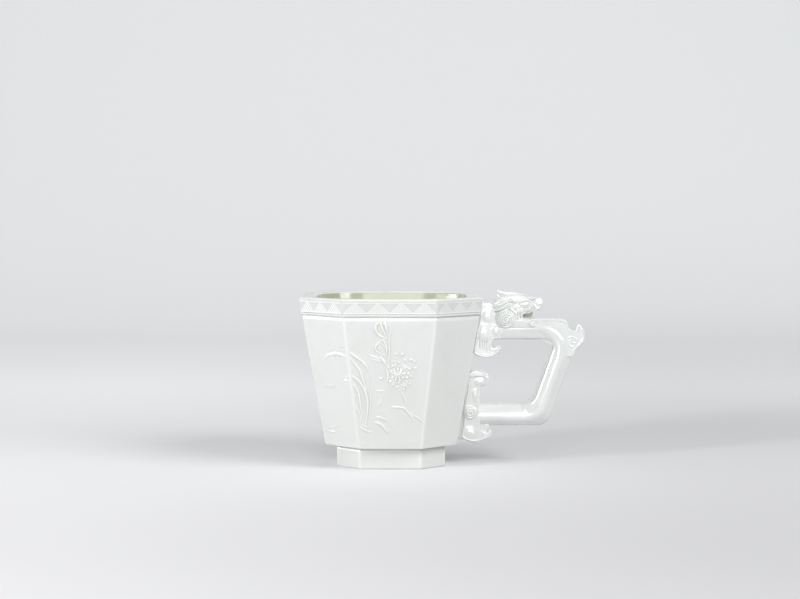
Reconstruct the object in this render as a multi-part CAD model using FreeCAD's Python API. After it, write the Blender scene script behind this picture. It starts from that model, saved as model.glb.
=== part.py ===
import FreeCAD, Part
import math
import os

# A small octagonal wine cup of pale nephrite, with an angular loop handle that carries a
# dragon's head. The real cup is one carved stone, so its members are seated face to face.
# Lengths are millimetres. The cup stands on z = 0 and the handle points along +X.

V = FreeCAD.Vector

# Cup
rim_height = 60.0          # table to rim
rim_across = 64.0          # across the flats at the rim
rim_cant = 15.7            # leg of the canted corner at the rim
band_height = 6.0          # plain band under the rim
band_flare = 0.6           # how far the band spreads outwards over its height
band_step = 0.3            # how far the band stands proud of the wall
wall_lean = 9.7            # degrees that the wall leans outwards
wall_top_cant = 15.1       # leg of the canted corner under the band
wall_foot_cant = 12.2      # the same above the foot
wall_thickness = 5.3
floor_thickness = 6.0
floor_corner = 11.0        # inner corner radius at the floor, which widens towards the rim
floor_round = 5.0          # rounding between the inner wall and the floor
lip_round = 0.6

# Foot
foot_height = 7.8
foot_inset = 4.1           # how far the foot stands back from the wall above it
foot_cant = 8.4
foot_ring_width = 5.2
foot_recess = 3.0          # depth of the hollow under the cup
cove_height = 1.3          # undercut between foot and wall
cove_depth = 0.9

# Handle loop
finger_drop = 15.7         # rim down to the underside of the upper bar
finger_height = 23.1       # between the two bars
finger_reach = 26.4        # rim out to the upper inner corner of the loop
handle_lean = 19.8         # degrees that the riser leans outwards
bar_thickness = 7.6        # inner edge to outer edge of the loop
upper_bar_thickness = 5.5
bar_crest = 4.2            # inner edge to the crest line
bar_crest_depth = 11.0     # front to back at the crest
bar_inner_depth = 9.0      # front to back at the inner edge
bar_outer_depth = 6.6      # front to back at the outer edge
inner_low_radius = 5.7
inner_high_radius = 3.0
crest_low_radius = 6.2
outer_low_radius = 5.0
outer_high_radius = 7.2

# Thumb plate over the outer top corner, and the curl that ends it
plate_height = 7.0         # underside of the upper bar to the top of the plate
curl_radius = 5.5
curl_lift = 0.6            # underside of the upper bar up to the centre of the curl
curl_reach = 5.0           # upper inner corner of the loop out to the centre of the curl
notch_width = 2.4
notch_depth = 4.0
curl_eye_radius = 1.8
curl_eye_drop = 1.8        # centre of the curl down to its eye
curl_eye_reach = 1.1
curl_eye_height = 0.8

# Scroll brackets that carry the handle on the wall
bracket_depth = 11.6       # front to back
bracket_bevel = 0.6
bracket_round = 2.0
heel_rise = 1.6            # bracket's end up to where it leaves the wall
heel_run = 2.2
hook_tip_round = 0.7
hollow_round = 1.1
upper_bracket_top_drop = 3.2
upper_bracket_drop = 6.4   # underside of the upper bar down to its lower edge
upper_bracket_reach = 3.4  # rim out to its outer side
upper_hook_run = 3.9       # outer side out to the tip of the hook
upper_hook_rise = 3.3
lower_bracket_lift = 7.5   # table up to its lower edge
lower_bracket_rise = 10.2  # lower bar's upper face up to its top
lower_bracket_width = 6.6  # wall to outer side, at the boss
lower_hook_run = 3.4
lower_hook_rise = 4.0
hook_lean = 1.2            # how far a hook's heel lies behind its tip
boss_radius = 2.0
boss_drop = 2.9            # lower bar's upper face down to the centre of the boss
boss_height = 0.9
boss_offset = 2.7          # wall to the centre of the boss

# Dragon's head, facing outwards
head_length = 20.4
head_height = 12.1
head_set = 1.6             # rim out to the back of the neck
cheek_width = 11.2         # front to back over the cheeks
eye_radius = 1.15
nose_radius = 1.1
cheek_radius = 2.8
cheek_height = 0.6
strand_height = 0.7        # how far mane and brow stand proud
horn_width = 2.2

overrun = 2.0              # how far a cutting solid passes the face it cuts

# Outlines of the head, as shares of its length and height: along, up, rounding
head_side_shares = [(0.09, 0.0, 0.0), (0.0, 0.40, 0.18), (0.03, 0.81, 0.12), (0.34, 0.99, 0.25),
                    (0.69, 1.0, 0.2), (0.82, 0.78, 0.08), (0.87, 0.92, 0.06), (1.0, 0.90, 0.1),
                    (1.0, 0.58, 0.1), (0.965, 0.45, 0.05), (0.99, 0.0, 0.0), (0.905, 0.0, 0.0),
                    (0.89, 0.48, 0.06), (0.82, 0.41, 0.05), (0.64, 0.40, 0.06), (0.61, 0.28, 0.0),
                    (0.61, 0.0, 0.0)]
jaw_side_shares = [(0.61, 0.0, 0.0), (0.61, 0.28, 0.0), (0.81, 0.30, 0.05), (0.885, 0.25, 0.03),
                   (0.853, 0.0, 0.0)]
# Half widths, as shares of the cheek width
head_plan_shares = [(-0.05, 0.34), (0.12, 0.5), (0.6, 0.5), (0.82, 0.31), (1.05, 0.22)]
head_end_shares = [(0.5, -0.1), (0.5, 0.72), (0.3, 1.05)]
# Strands of the mane on each side: root along and up, tip along and up, bow, width
mane_shares = [(0.47, 0.90, 0.0, 0.68, 0.09, 0.12), (0.44, 0.72, -0.02, 0.52, 0.08, 0.13),
               (0.34, 0.54, 0.02, 0.30, 0.06, 0.13)]
horn_share = (0.52, 0.93, 0.16, 1.10, -0.05, 0.13)
brow_share = (0.57, 0.74, 0.76, 0.83, -0.05, 0.08)
eye_share = (0.685, 0.715)
nose_share = (0.94, 0.84)
nose_width_share = 0.36
cheek_share = (0.36, 0.24)

# Button on each round boss, as a share of its radius
button_share = 0.45

rim_x = rim_across / 2
band_base = rim_height - band_height
wall_top_x = rim_x - band_flare - band_step
floor_top = foot_height + floor_thickness


def wall_x(z):
    """Outer face of the plain wall at a height, from the cup's middle, carried on past the band."""
    return wall_top_x - (band_base - z) * math.tan(math.radians(wall_lean))


foot_across = 2 * (wall_x(foot_height) - foot_inset)
finger_top = rim_height - finger_drop
finger_bottom = finger_top - finger_height
corner_x = rim_x + finger_reach
curl_x = corner_x + curl_reach
curl_z = finger_top + curl_lift
head_base = finger_top + bar_crest
plate_top = finger_top + plate_height
plate_x = rim_x + head_set + head_length * jaw_side_shares[-1][0]
bracket_side = rim_x + upper_bracket_reach
boss_z = finger_bottom - boss_drop
lower_side = wall_x(boss_z) + lower_bracket_width


def front_view(u, v):
    return V(u, 0, v)


def plan_view(u, v):
    return V(u, v, 0)


def end_view(u, v):
    return V(0, u, v)


def rounded_wire(corners, place, closed=True):
    """A wire through corners (u, v, radius), each rounded by a tangent arc."""
    count = len(corners)
    stops = []
    for i, (u, v, radius) in enumerate(corners):
        here = V(u, v, 0)
        at_end = not closed and i in (0, count - 1)
        if at_end or radius == 0:
            stops.append((here, here, here))
            continue
        back = V(*corners[i - 1][:2], 0) - here
        ahead = V(*corners[(i + 1) % count][:2], 0) - here
        back.normalize()
        ahead.normalize()
        half = back.getAngle(ahead) / 2
        inward = back + ahead
        inward.normalize()
        tangent = radius / math.tan(half)
        middle = here + inward * (radius / math.sin(half) - radius)
        stops.append((here + back * tangent, middle, here + ahead * tangent))
    edges = []
    for i, (start, middle, end) in enumerate(stops):
        if start != end:
            edges.append(Part.Arc(*(place(p.x, p.y) for p in (start, middle, end))).toShape())
        if i + 1 < count or closed:
            following = stops[(i + 1) % count][0]
            edges.append(Part.makeLine(place(end.x, end.y), place(following.x, following.y)))
    return Part.Wire(edges)


def slab(corners, depth):
    """A closed front-view outline, extruded evenly to both sides of the middle plane."""
    face = Part.Face(rounded_wire(corners, front_view))
    face.translate(V(0, -depth / 2, 0))
    return face.extrude(V(0, depth, 0))


def both_sides(shape):
    """The shape on the front and its mirror image on the back, as two solids."""
    return Part.makeCompound([shape, shape.mirror(V(0, 0, 0), V(0, 1, 0))])


def bevelled(shape, bevel):
    """A slab with its front and back outlines bevelled."""
    reach = max(abs(shape.BoundBox.YMin), shape.BoundBox.YMax)
    rims = [e for e in shape.Edges
            if math.isclose(abs(e.CenterOfMass.y), reach) and e.BoundBox.YLength < bevel]
    return shape.makeChamfer(bevel, rims)


def octagon(across, cant, z):
    """Corner points of a square with canted corners, anticlockwise from the front right."""
    side = across / 2
    near = side - cant
    quarter = [(near, -side), (side, -near)]
    points = []
    for turn in range(4):
        for x, y in quarter:
            for _ in range(turn):
                x, y = -y, x
            points.append(V(x, y, z))
    return points


def closed_solid(faces):
    shell = Part.makeShell(faces)
    shell.sewShape()
    return Part.makeSolid(shell)


def frustum(*rings):
    """A solid with flat sides through octagons, lowest first."""
    faces = [Part.Face(Part.makePolygon(ring + ring[:1])) for ring in (rings[0][::-1], rings[-1])]
    for lower, upper in zip(rings, rings[1:]):
        for i in range(len(lower)):
            quad = [lower[i - 1], lower[i], upper[i], upper[i - 1], lower[i - 1]]
            faces.append(Part.Face(Part.makePolygon(quad)))
    return closed_solid(faces)


def cavity():
    """The hollow of the cup: four flat sides and round corners that widen upwards, on a rounded floor."""
    ground = wall_x(floor_top) - wall_thickness
    mouth = rim_x - wall_thickness
    centre = ground - floor_corner
    above = rim_height + overrun
    profile = Part.Face(rounded_wire([(centre, floor_top, 0), (ground, floor_top, floor_round),
                                      (mouth, rim_height - lip_round, 0),
                                      (mouth + lip_round + overrun, above, 0), (centre, above, 0)],
                                     front_view))
    profile.translate(V(0, -centre, 0))
    side = profile.extrude(V(0, 2 * centre, 0))
    corner = profile.revolve(V(centre, -centre, 0), V(0, 0, 1), -90)
    block = Part.makeBox(2 * centre, 2 * centre, above - floor_top, V(-centre, -centre, floor_top))
    pieces = []
    for turn in range(4):
        for piece in (side.copy(), corner.copy()):
            piece.rotate(V(0, 0, 0), V(0, 0, 1), turn * 90)
            pieces.append(piece)
    return block.fuse(pieces).removeSplitter()


def cup_wall(hollow):
    lower = octagon(2 * wall_x(foot_height), wall_foot_cant, foot_height)
    upper = octagon(2 * wall_top_x, wall_top_cant, band_base)
    return frustum(lower, upper).cut(hollow)


def rim_band(hollow):
    lower = octagon(2 * (wall_top_x + band_step), wall_top_cant, band_base)
    shoulder = octagon(rim_across, rim_cant, rim_height - lip_round)
    upper = octagon(rim_across - 2 * lip_round, rim_cant - lip_round / 2, rim_height)
    return frustum(lower, shoulder, upper).cut(hollow)


def foot_ring():
    shoulder = foot_height - cove_height
    block = frustum(octagon(foot_across, foot_cant, 0), octagon(foot_across, foot_cant, shoulder))
    neck_across = foot_across - 2 * cove_depth
    neck = frustum(octagon(neck_across, foot_cant, shoulder), octagon(neck_across, foot_cant, foot_height))
    inside = foot_across - 2 * foot_ring_width
    recess = frustum(octagon(inside, foot_cant / 2, -overrun), octagon(inside, foot_cant / 2, foot_recess))
    return block.fuse(neck).cut(recess)


def loop_line(offset, low_radius, high_radius, top, depth_side):
    """Inner edge, crest or outer edge of the loop, from the lower bar round to the upper bar."""
    lean = math.radians(handle_lean)
    slope = math.tan(lean)
    aside = offset / math.cos(lean)
    low = finger_bottom - offset
    high = finger_top + top
    turn_x = corner_x + aside
    corners = [(lower_side, low, 0), (turn_x - slope * (finger_top - low), low, low_radius),
               (turn_x + slope * (high - finger_top), high, high_radius), (bracket_side, high, 0)]
    wire = rounded_wire(corners, front_view, closed=False)
    wire.translate(V(0, depth_side, 0))
    return wire


def handle_loop():
    """Angular loop whose sides rise to a crest line, front and back."""
    lines = []
    for side in (-1, 1):
        inner = loop_line(0, inner_low_radius, inner_high_radius, 0, side * bar_inner_depth / 2)
        crest = loop_line(bar_crest, crest_low_radius, inner_high_radius + bar_crest, bar_crest,
                          side * bar_crest_depth / 2)
        outer = loop_line(bar_thickness, outer_low_radius, outer_high_radius, upper_bar_thickness,
                          side * bar_outer_depth / 2)
        lines += [inner, crest, outer][::side]
    faces = []
    for i, line in enumerate(lines):
        for one, other in zip(lines[i - 1].OrderedEdges, line.OrderedEdges):
            faces += Part.makeLoft([Part.Wire(one), Part.Wire(other)], False, True).Faces
    for end in (0, -1):
        points = [line.OrderedVertexes[end].Point for line in lines]
        faces.append(Part.Face(Part.makePolygon(points + points[:1])))
    seat_start = bracket_side - overrun
    seat_depth = bar_crest_depth + overrun
    seat = Part.makeBox(plate_x - seat_start, seat_depth, upper_bar_thickness,
                        V(seat_start, -seat_depth / 2, head_base))
    return closed_solid(faces).cut([seat, curl_notch()])


def curl_notch():
    """A round-ended slot that parts the plate from the tip of the curl."""
    middle = curl_x + notch_width / 2
    low = plate_top - notch_depth
    round_centre = V(middle, -bar_crest_depth / 2, low + notch_width / 2)
    end = Part.makeCylinder(notch_width / 2, bar_crest_depth, round_centre, V(0, 1, 0))
    return end.fuse(slab([(middle - notch_width / 2, plate_top + overrun, 0),
                          (middle + notch_width / 2, plate_top + overrun, 0),
                          (middle + notch_width / 2, round_centre.z, 0),
                          (middle - notch_width / 2, round_centre.z, 0)], bar_crest_depth))


def thumb_curl(loop):
    """The plate on the outer top corner and the curl that ends it, seated along the loop."""
    plate = slab([(plate_x, plate_top, 0), (curl_x, plate_top, notch_width / 2), (curl_x, curl_z, 0),
                  (corner_x, head_base, 0), (plate_x, head_base, 0)], bar_outer_depth)
    curl = Part.makeCylinder(curl_radius, bar_outer_depth, V(curl_x, -bar_outer_depth / 2, curl_z), V(0, 1, 0))
    return plate.fuse(curl).cut([curl_notch(), loop])


def disc(radius, x, z, low_y, high_y, height):
    """A round boss on the front with a button in its middle, and its mirror image."""
    foot = V(x, -low_y, z)
    boss = Part.makeCylinder(radius, high_y - low_y - height / 2, foot, V(0, -1, 0))
    button = Part.makeCylinder(radius * button_share, high_y - low_y, foot, V(0, -1, 0))
    return both_sides(boss.fuse(button))


def upper_bracket(cup):
    """Scroll under the dragon's neck: down the wall and out to an upturned hook."""
    top = rim_height - upper_bracket_top_drop
    low = finger_top - upper_bracket_drop
    hook = low + upper_hook_rise
    tip = bracket_side + upper_hook_run
    outline = [(wall_x(top), top, 0), (wall_x(low + heel_rise), low + heel_rise, 0),
               (wall_x(low) + heel_run, low, bracket_round), (tip - hook_lean, low, bracket_round),
               (tip, hook, hook_tip_round), (bracket_side, hook, hollow_round), (bracket_side, top, hollow_round)]
    return bevelled(slab(outline, bracket_depth), bracket_bevel).cut(cup)


def lower_bracket(cup):
    """Scroll that carries the lower bar: a hook at each end, turned towards the bar."""
    low = lower_bracket_lift
    top = finger_bottom + lower_bracket_rise
    tip = lower_side + lower_hook_run
    outline = [(wall_x(top - heel_rise), top - heel_rise, 0), (wall_x(low + heel_rise), low + heel_rise, 0),
               (wall_x(low) + heel_run * 2, low, bracket_round), (tip, low, bracket_round),
               (tip - hook_lean, low + lower_hook_rise, hook_tip_round),
               (lower_side, low + lower_hook_rise, hollow_round),
               (lower_side, top - lower_hook_rise, hollow_round),
               (tip - hook_lean, top - lower_hook_rise, hook_tip_round), (tip, top, bracket_round),
               (wall_x(top) + heel_run, top, bracket_round)]
    return bevelled(slab(outline, bracket_depth), bracket_bevel).cut(cup)


def head_x(share):
    return rim_x + head_set + head_length * share


def head_z(share):
    return head_base + head_height * share


def carved(side_shares):
    """A form of the head: its side outline, kept inside the head's plan and end outlines."""
    side = slab([(head_x(u), head_z(v), head_height * r) for u, v, r in side_shares], cheek_width)
    half = [(head_x(u), cheek_width * w, bracket_round) for u, w in head_plan_shares]
    plan = Part.Face(rounded_wire(half + [(x, -y, r) for x, y, r in half[::-1]], plan_view))
    plan.translate(V(0, 0, head_base - overrun))
    half = [(cheek_width * w, head_z(v), bracket_round) for w, v in head_end_shares]
    end = Part.Face(rounded_wire(half + [(-y, z, r) for y, z, r in half[::-1]], end_view))
    end.translate(V(rim_x, 0, 0))
    tall = plan.extrude(V(0, 0, head_height + 2 * overrun))
    long = end.extrude(V(head_length + head_set + overrun, 0, 0))
    return side.common(tall).common(long)


def strand(shares, low_y, high_y):
    """A tapering lock between two arcs, on the front, and its mirror image."""
    root_u, root_v, tip_u, tip_v, bow, width = shares
    root = V(head_x(root_u), -low_y, head_z(root_v))
    tip = V(head_x(tip_u), -low_y, head_z(tip_v))
    across = (tip - root).cross(V(0, 1, 0))
    across.normalize()
    middle = (root + tip) / 2
    arcs = [Part.Arc(root, middle + across * head_height * (bow + edge * width / 2), tip).toShape()
            for edge in (-1, 1)]
    return both_sides(Part.Face(Part.Wire(arcs)).extrude(V(0, low_y - high_y, 0)))


def dragon_head(cup):
    width = cheek_width * nose_width_share
    nose = Part.makeCylinder(nose_radius, width, V(head_x(nose_share[0]), -width / 2, head_z(nose_share[1])),
                             V(0, 1, 0))
    return carved(head_side_shares).fuse(nose).cut(cup)


def save(name, shape, *seats):
    """Write one member, cut so that it sits face to face on the members that carry it."""
    for seat in seats:
        shape = shape.cut(seat)
    solids = shape.Solids
    print(name, len(solids), round(sum(solid.Volume for solid in solids)), shape.isValid())
    body = solids[0] if len(solids) == 1 else Part.makeCompound(solids)
    body.exportStep(f"parts/{name}.step")
    return body


os.makedirs("parts", exist_ok=True)
hollow = cavity()
wall = save("cup_wall", cup_wall(hollow))
band = save("rim_band", rim_band(hollow))
foot = save("foot_ring", foot_ring())
cup = Part.makeCompound([wall, band])
upper = save("upper_bracket", upper_bracket(cup))
lower = save("lower_bracket", lower_bracket(cup))
loop = save("handle_loop", handle_loop(), upper, lower)
curl = save("thumb_curl", thumb_curl(loop))
head = save("dragon_head", dragon_head(cup), upper, curl, loop)
jaw = save("dragon_jaw", carved(jaw_side_shares), curl, loop, head)
proud = cheek_width / 2 + strand_height
inside = cheek_width / 2 - 2 * strand_height
horns = save("dragon_horns", strand(horn_share, strand_height, strand_height + horn_width), head)
locks = Part.makeCompound([strand(row, inside, proud) for row in mane_shares])
mane = save("dragon_mane", locks, head, upper, cup)
eye = disc(eye_radius, head_x(eye_share[0]), head_z(eye_share[1]), inside, cheek_width / 2, strand_height)
eyes = save("dragon_eyes", eye, head)
save("dragon_brows", strand(brow_share, inside, proud), head, eyes)
cheeks = disc(cheek_radius, head_x(cheek_share[0]), head_z(cheek_share[1]), inside,
              cheek_width / 2 + cheek_height, cheek_height)
save("cheek_spirals", cheeks, head, mane)
bosses = disc(boss_radius, wall_x(boss_z) + boss_offset, boss_z, bracket_depth / 2,
              bracket_depth / 2 + boss_height, boss_height)
save("bracket_bosses", bosses, lower)
curl_eyes = disc(curl_eye_radius, curl_x + curl_eye_reach, curl_z - curl_eye_drop,
                 bar_outer_depth / 2, bar_outer_depth / 2 + curl_eye_height, curl_eye_height)
save("curl_eyes", curl_eyes, loop)
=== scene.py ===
import logging
import math
from collections.abc import Iterable, Sequence
from dataclasses import dataclass, replace
from enum import Enum

import bmesh
import bpy
from bmesh.types import BMEdge, BMesh, BMVert
from bpy.types import Material, Node, NodeSocket, NodeTree, Object
from mathutils import Matrix, Vector
from mathutils.bvhtree import BVHTree


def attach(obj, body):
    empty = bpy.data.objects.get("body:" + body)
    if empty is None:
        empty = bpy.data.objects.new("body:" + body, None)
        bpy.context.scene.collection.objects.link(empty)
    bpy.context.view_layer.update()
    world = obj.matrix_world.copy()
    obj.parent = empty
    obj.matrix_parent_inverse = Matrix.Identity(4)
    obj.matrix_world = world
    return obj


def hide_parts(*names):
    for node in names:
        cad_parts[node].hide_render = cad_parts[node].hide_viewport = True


LOG = logging.getLogger("jade_cup")
MM = 0.001

Point = tuple[float, float]
Corner = tuple[float, float, float]
Bead = tuple[float, float, float, float]
Line = tuple[list[Corner], float]

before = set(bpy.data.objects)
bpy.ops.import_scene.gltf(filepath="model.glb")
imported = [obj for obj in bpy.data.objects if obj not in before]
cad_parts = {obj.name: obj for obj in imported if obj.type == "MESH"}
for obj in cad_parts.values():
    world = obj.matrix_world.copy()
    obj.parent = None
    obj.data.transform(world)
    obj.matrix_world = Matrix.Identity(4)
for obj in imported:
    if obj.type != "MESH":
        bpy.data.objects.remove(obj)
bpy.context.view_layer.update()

# Local frames: u to the right, v up, w out of the stone
FRONT_VIEW = Matrix(((1, 0, 0, 0), (0, 0, -1, 0), (0, 1, 0, 0), (0, 0, 0, 1)))
MIRROR_Y = Matrix.Diagonal((1, -1, 1, 1))

SMOOTH = {"interpolation_type": "SMOOTHSTEP"}
COLOURS = {"data_type": "RGBA"}
WHITE = (1.0, 1.0, 1.0, 1.0)


class Surface(Enum):
    """How a surface of the stone was left."""

    POLISHED = "polished"
    CARVED = "carved"
    GROUND = "ground"
    HOLLOWED = "hollowed"


def linear(hex_colour: str) -> tuple[float, float, float, float]:
    """Turn an sRGB hex colour into linear red, green, blue and alpha.

    Args:
        hex_colour: The colour as "#RRGGBB".

    Returns:
        Four numbers from 0 to 1.
    """
    parts = [int(hex_colour[i:i + 2], 16) / 255 for i in (1, 3, 5)]
    red, green, blue = (p / 12.92 if p <= 0.04045 else ((p + 0.055) / 1.055) ** 2.4 for p in parts)
    return red, green, blue, 1.0


def add_node(tree: NodeTree, kind: str, settings: dict | None = None, inputs: dict | None = None) -> Node:
    """Add a node with its settings, its values and its links.

    Args:
        tree: The node tree.
        kind: The node's type name.
        settings: Attributes to set on the node.
        inputs: Values, or sockets to link, by input name or index.

    Returns:
        The new node.
    """
    node = tree.nodes.new(kind)
    for name, value in (settings or {}).items():
        setattr(node, name, value)
    for name, value in (inputs or {}).items():
        if isinstance(value, NodeSocket):
            tree.links.new(value, node.inputs[name])
        else:
            node.inputs[name].default_value = value
    return node


def empty_material(name: str) -> tuple[Material, NodeTree]:
    """Start a material that has no nodes yet.

    Args:
        name: The material's name.

    Returns:
        The material and its node tree.
    """
    material = bpy.data.materials.new(name)
    material.use_nodes = True
    material.node_tree.nodes.clear()
    return material, material.node_tree


def put(name: str, data: bpy.types.ID) -> Object:
    """Link a new object to the scene.

    Args:
        name: The object's name.
        data: Its mesh, lamp or camera.

    Returns:
        The object.
    """
    obj = bpy.data.objects.new(name, data)
    bpy.context.scene.collection.objects.link(obj)
    return obj


def pick(items: Iterable, kind: type) -> list:
    """The vertices, or the edges, among an operator's results."""
    return [item for item in items if isinstance(item, kind)]


def bevel(form: BMesh, geom: list, offset: float, segments: int, affect: str = "EDGES",
          clamp: bool = True) -> None:
    """Round edges or corners of a form.

    Args:
        form: The mesh.
        geom: The edges, or the vertices of a flat outline.
        offset: Distance at which the rounding starts.
        segments: Steps in it.
        affect: "EDGES" or "VERTICES".
        clamp: Whether the rounding stops where it meets another.
    """
    bmesh.ops.bevel(form, geom=geom, offset=offset, offset_type="OFFSET", segments=segments, profile=0.5,
                    affect=affect, clamp_overlap=clamp, material=-1)


@dataclass(frozen=True)
class Nephrite:
    """A finish of white nephrite, a dense felt of fibres that takes a waxy polish and lets light in.

    The eye gets a milky greenish white with faint clouds and a soft gloss. Pale edges are a painted
    highlight, grooves in the shade colour are painted shade, whiter raised carving is a painted highlight,
    and the stone is painted a little darker towards the foot, painted shade. Clouds, fibres and ripples
    have the widths of real stone, in millimetres. Crest and cut are the limits of pointiness between
    which an edge turns pale, a painted highlight, and a groove takes the painted shade.
    """

    name: str
    surface: Surface
    body: str
    cloud: str
    low: str
    roughness: float
    roughness_spread: float
    subsurface: float
    glow_mm: float
    ripple: float
    coat: float = 0.0
    coat_ior: float = 1.6
    # edge paints convex edges pale, a painted highlight; hollow paints grooves in the shade colour, painted
    # shade
    edge: float = 0.0
    hollow: float = 0.0
    shade: str = "#C3C9BE"
    sheen: float = 0.0
    cloud_mm: float = 9.0
    fibre_mm: float = 1.1
    coarser: float = 3.0
    ripple_mm: float = 2.6
    ripple_height_mm: float = 0.25
    # From low_mm to high_mm the stone goes from low to body: painted a little darker towards the foot, painted
    # shade
    low_mm: float = 6.0
    high_mm: float = 62.0
    crest: Point = (0.502, 0.54)
    cut: Point = (0.498, 0.46)

    def make(self) -> Material:
        """Build the node material.

        Returns:
            The material, under the finish's name.
        """
        material, tree = empty_material(self.name)
        place = add_node(tree, "ShaderNodeTexCoord").outputs["Object"]
        clouds = add_node(tree, "ShaderNodeTexNoise", inputs={
            "Vector": place, "Scale": 1 / (self.cloud_mm * MM), "Detail": 3.0, "Roughness": 0.55,
            "Distortion": 0.6})
        cloudy = add_node(tree, "ShaderNodeMapRange", SMOOTH, {
            "Value": clouds.outputs[0], "From Min": 0.42, "From Max": 0.68})
        along = add_node(tree, "ShaderNodeMapping", inputs={
            "Vector": place, "Rotation": (0.35, 0.2, 0.5), "Scale": (1.0, 1.0, 3.2)})
        # Real fibres are too fine to show, so they are drawn three times as coarse
        fibres = add_node(tree, "ShaderNodeTexNoise", inputs={
            "Vector": along.outputs[0], "Scale": 1 / (self.fibre_mm * self.coarser * MM), "Detail": 4.0,
            "Roughness": 0.6})
        height = add_node(tree, "ShaderNodeSeparateXYZ", inputs={0: place})
        # Darker towards the foot, from low to body: painted shade
        rise = add_node(tree, "ShaderNodeMapRange", SMOOTH, {
            "Value": height.outputs["Z"], "From Min": self.low_mm * MM, "From Max": self.high_mm * MM})
        upright = add_node(tree, "ShaderNodeMix", COLOURS, {
            0: rise.outputs[0], 6: linear(self.low), 7: linear(self.body)})
        streaks = add_node(tree, "ShaderNodeMath", {"operation": "MULTIPLY"}, {
            0: cloudy.outputs[0], 1: fibres.outputs[0]})
        clouded = add_node(tree, "ShaderNodeMix", COLOURS, {
            0: streaks.outputs[0], 6: upright.outputs[2], 7: linear(self.cloud)})
        # Whiter where the carving is raised: a painted highlight on the strokes
        raised = add_node(tree, "ShaderNodeAttribute", {"attribute_name": "raised"})
        carved = add_node(tree, "ShaderNodeMix", COLOURS, {
            0: raised.outputs["Fac"], 6: clouded.outputs[2], 7: WHITE})
        # Pale edges and grey grooves by pointiness: painted highlight on the edges, painted shade in the
        # grooves
        curving = add_node(tree, "ShaderNodeNewGeometry").outputs["Pointiness"]
        painted_edge_highlight = add_node(tree, "ShaderNodeMapRange", inputs={
            "Value": curving, "From Min": self.crest[0], "From Max": self.crest[1], "To Max": self.edge})
        sunk = add_node(tree, "ShaderNodeMapRange", inputs={
            "Value": curving, "From Min": self.cut[0], "From Max": self.cut[1], "To Max": self.hollow})
        with_painted_highlight = add_node(tree, "ShaderNodeMix", COLOURS, {
            0: painted_edge_highlight.outputs[0], 6: carved.outputs[2], 7: WHITE})
        with_painted_shade = add_node(tree, "ShaderNodeMix", COLOURS, {
            0: sunk.outputs[0], 6: with_painted_highlight.outputs[2], 7: linear(self.shade)})
        gloss = add_node(tree, "ShaderNodeMapRange", inputs={
            "Value": fibres.outputs[0], "To Min": self.roughness - self.roughness_spread,
            "To Max": self.roughness + self.roughness_spread})
        waves = add_node(tree, "ShaderNodeTexNoise", inputs={
            "Vector": place, "Scale": 1 / (self.ripple_mm * MM), "Detail": 2.0, "Roughness": 0.5})
        bump = add_node(tree, "ShaderNodeBump", inputs={
            "Height": waves.outputs[0], "Strength": self.ripple, "Distance": self.ripple_height_mm * MM})
        shader = add_node(tree, "ShaderNodeBsdfPrincipled", {"subsurface_method": "RANDOM_WALK"}, {
            "Base Color": with_painted_shade.outputs[2], "Roughness": gloss.outputs[0], "Normal": bump.outputs[0],
            "IOR": 1.61, "Subsurface Weight": self.subsurface, "Subsurface Radius": (1.0, 0.98, 0.88),
            "Subsurface Scale": self.glow_mm * MM, "Coat Weight": self.coat, "Coat Roughness": 0.06,
            "Coat IOR": self.coat_ior, "Sheen Weight": self.sheen, "Sheen Roughness": 0.4})
        add_node(tree, "ShaderNodeOutputMaterial", inputs={"Surface": shader.outputs[0]})
        return material


# Polished wall: a milky white with a satin gloss, painted a little darker towards the foot, with painted shade
# in the cuts and a painted highlight along the edges
CUP_STONE = Nephrite("nephrite_polished_wall", Surface.POLISHED, "#EAECEB", "#E4E6E3", "#E7E9E6", 0.20, 0.04,
                     0.8, 1.3, 0.04, coat=0.25, edge=0.26, hollow=0.4, shade="#CBCEBC")
# Ground of the band, left matt by the wheel: a shade darker than the lines that are cut on it
BAND_STONE = Nephrite("nephrite_hatched_band", Surface.GROUND, "#E0E2E0", "#DADCD9", "#E0E2E0", 0.30, 0.05,
                      0.6, 1.2, 0.08, coat=0.2)
# Hollowed inside: a darker olive copy of the stone under a fair polish, painted shade for the shaded hollow
# and for the green of light that has passed through the wall
INSIDE_PAINTED_SHADE_STONE = Nephrite("nephrite_inside_painted_shade", Surface.HOLLOWED, "#BFC3AC", "#B8BCA2", "#BFC3AC", 0.24,
                        0.04, 0.6, 2.2, 0.06, coat=0.5)
# Lines ground on the band: bruised stone, so they are whiter than their ground and dull
LINE_STONE = Nephrite("nephrite_ground_lines", Surface.GROUND, "#F5F6F4", "#F0F1EE", "#F4F5F3", 0.45, 0.05,
                      0.0, 1.0, 0.0)
# Carved handle: thin stone with a glassy polish, a painted highlight on each crest and painted shade in the
# cuts
HANDLE_STONE = Nephrite("nephrite_thin_handle", Surface.CARVED, "#EDF0ED", "#E8EBE8", "#EBEEEB", 0.15, 0.04,
                        0.08, 2.0, 0.02, coat=1.0, coat_ior=1.8, edge=0.9, hollow=0.5, sheen=0.15)
# Upper scroll: a whiter copy of the handle's stone, painted light for the scroll, which lies in the cup's
# shadow
SCROLL_PAINTED_LIGHT_STONE = replace(HANDLE_STONE, name="nephrite_scroll_painted_light", body="#F9FBF9", cloud="#F4F6F3",
                     low="#F8FAF8", hollow=0.4, sheen=0.3)
# Plain bars and thumb plate: the same glassy polish in a greyer copy of the handle's stone, painted shade that
# tones them down
LOOP_PAINTED_SHADE_STONE = replace(HANDLE_STONE, name="nephrite_plain_handle_painted_shade", surface=Surface.POLISHED, body="#E2E6E3",
                     cloud="#DDE1DD", low="#E0E4E1", roughness_spread=0.03, edge=0.8, hollow=0.4)
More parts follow.
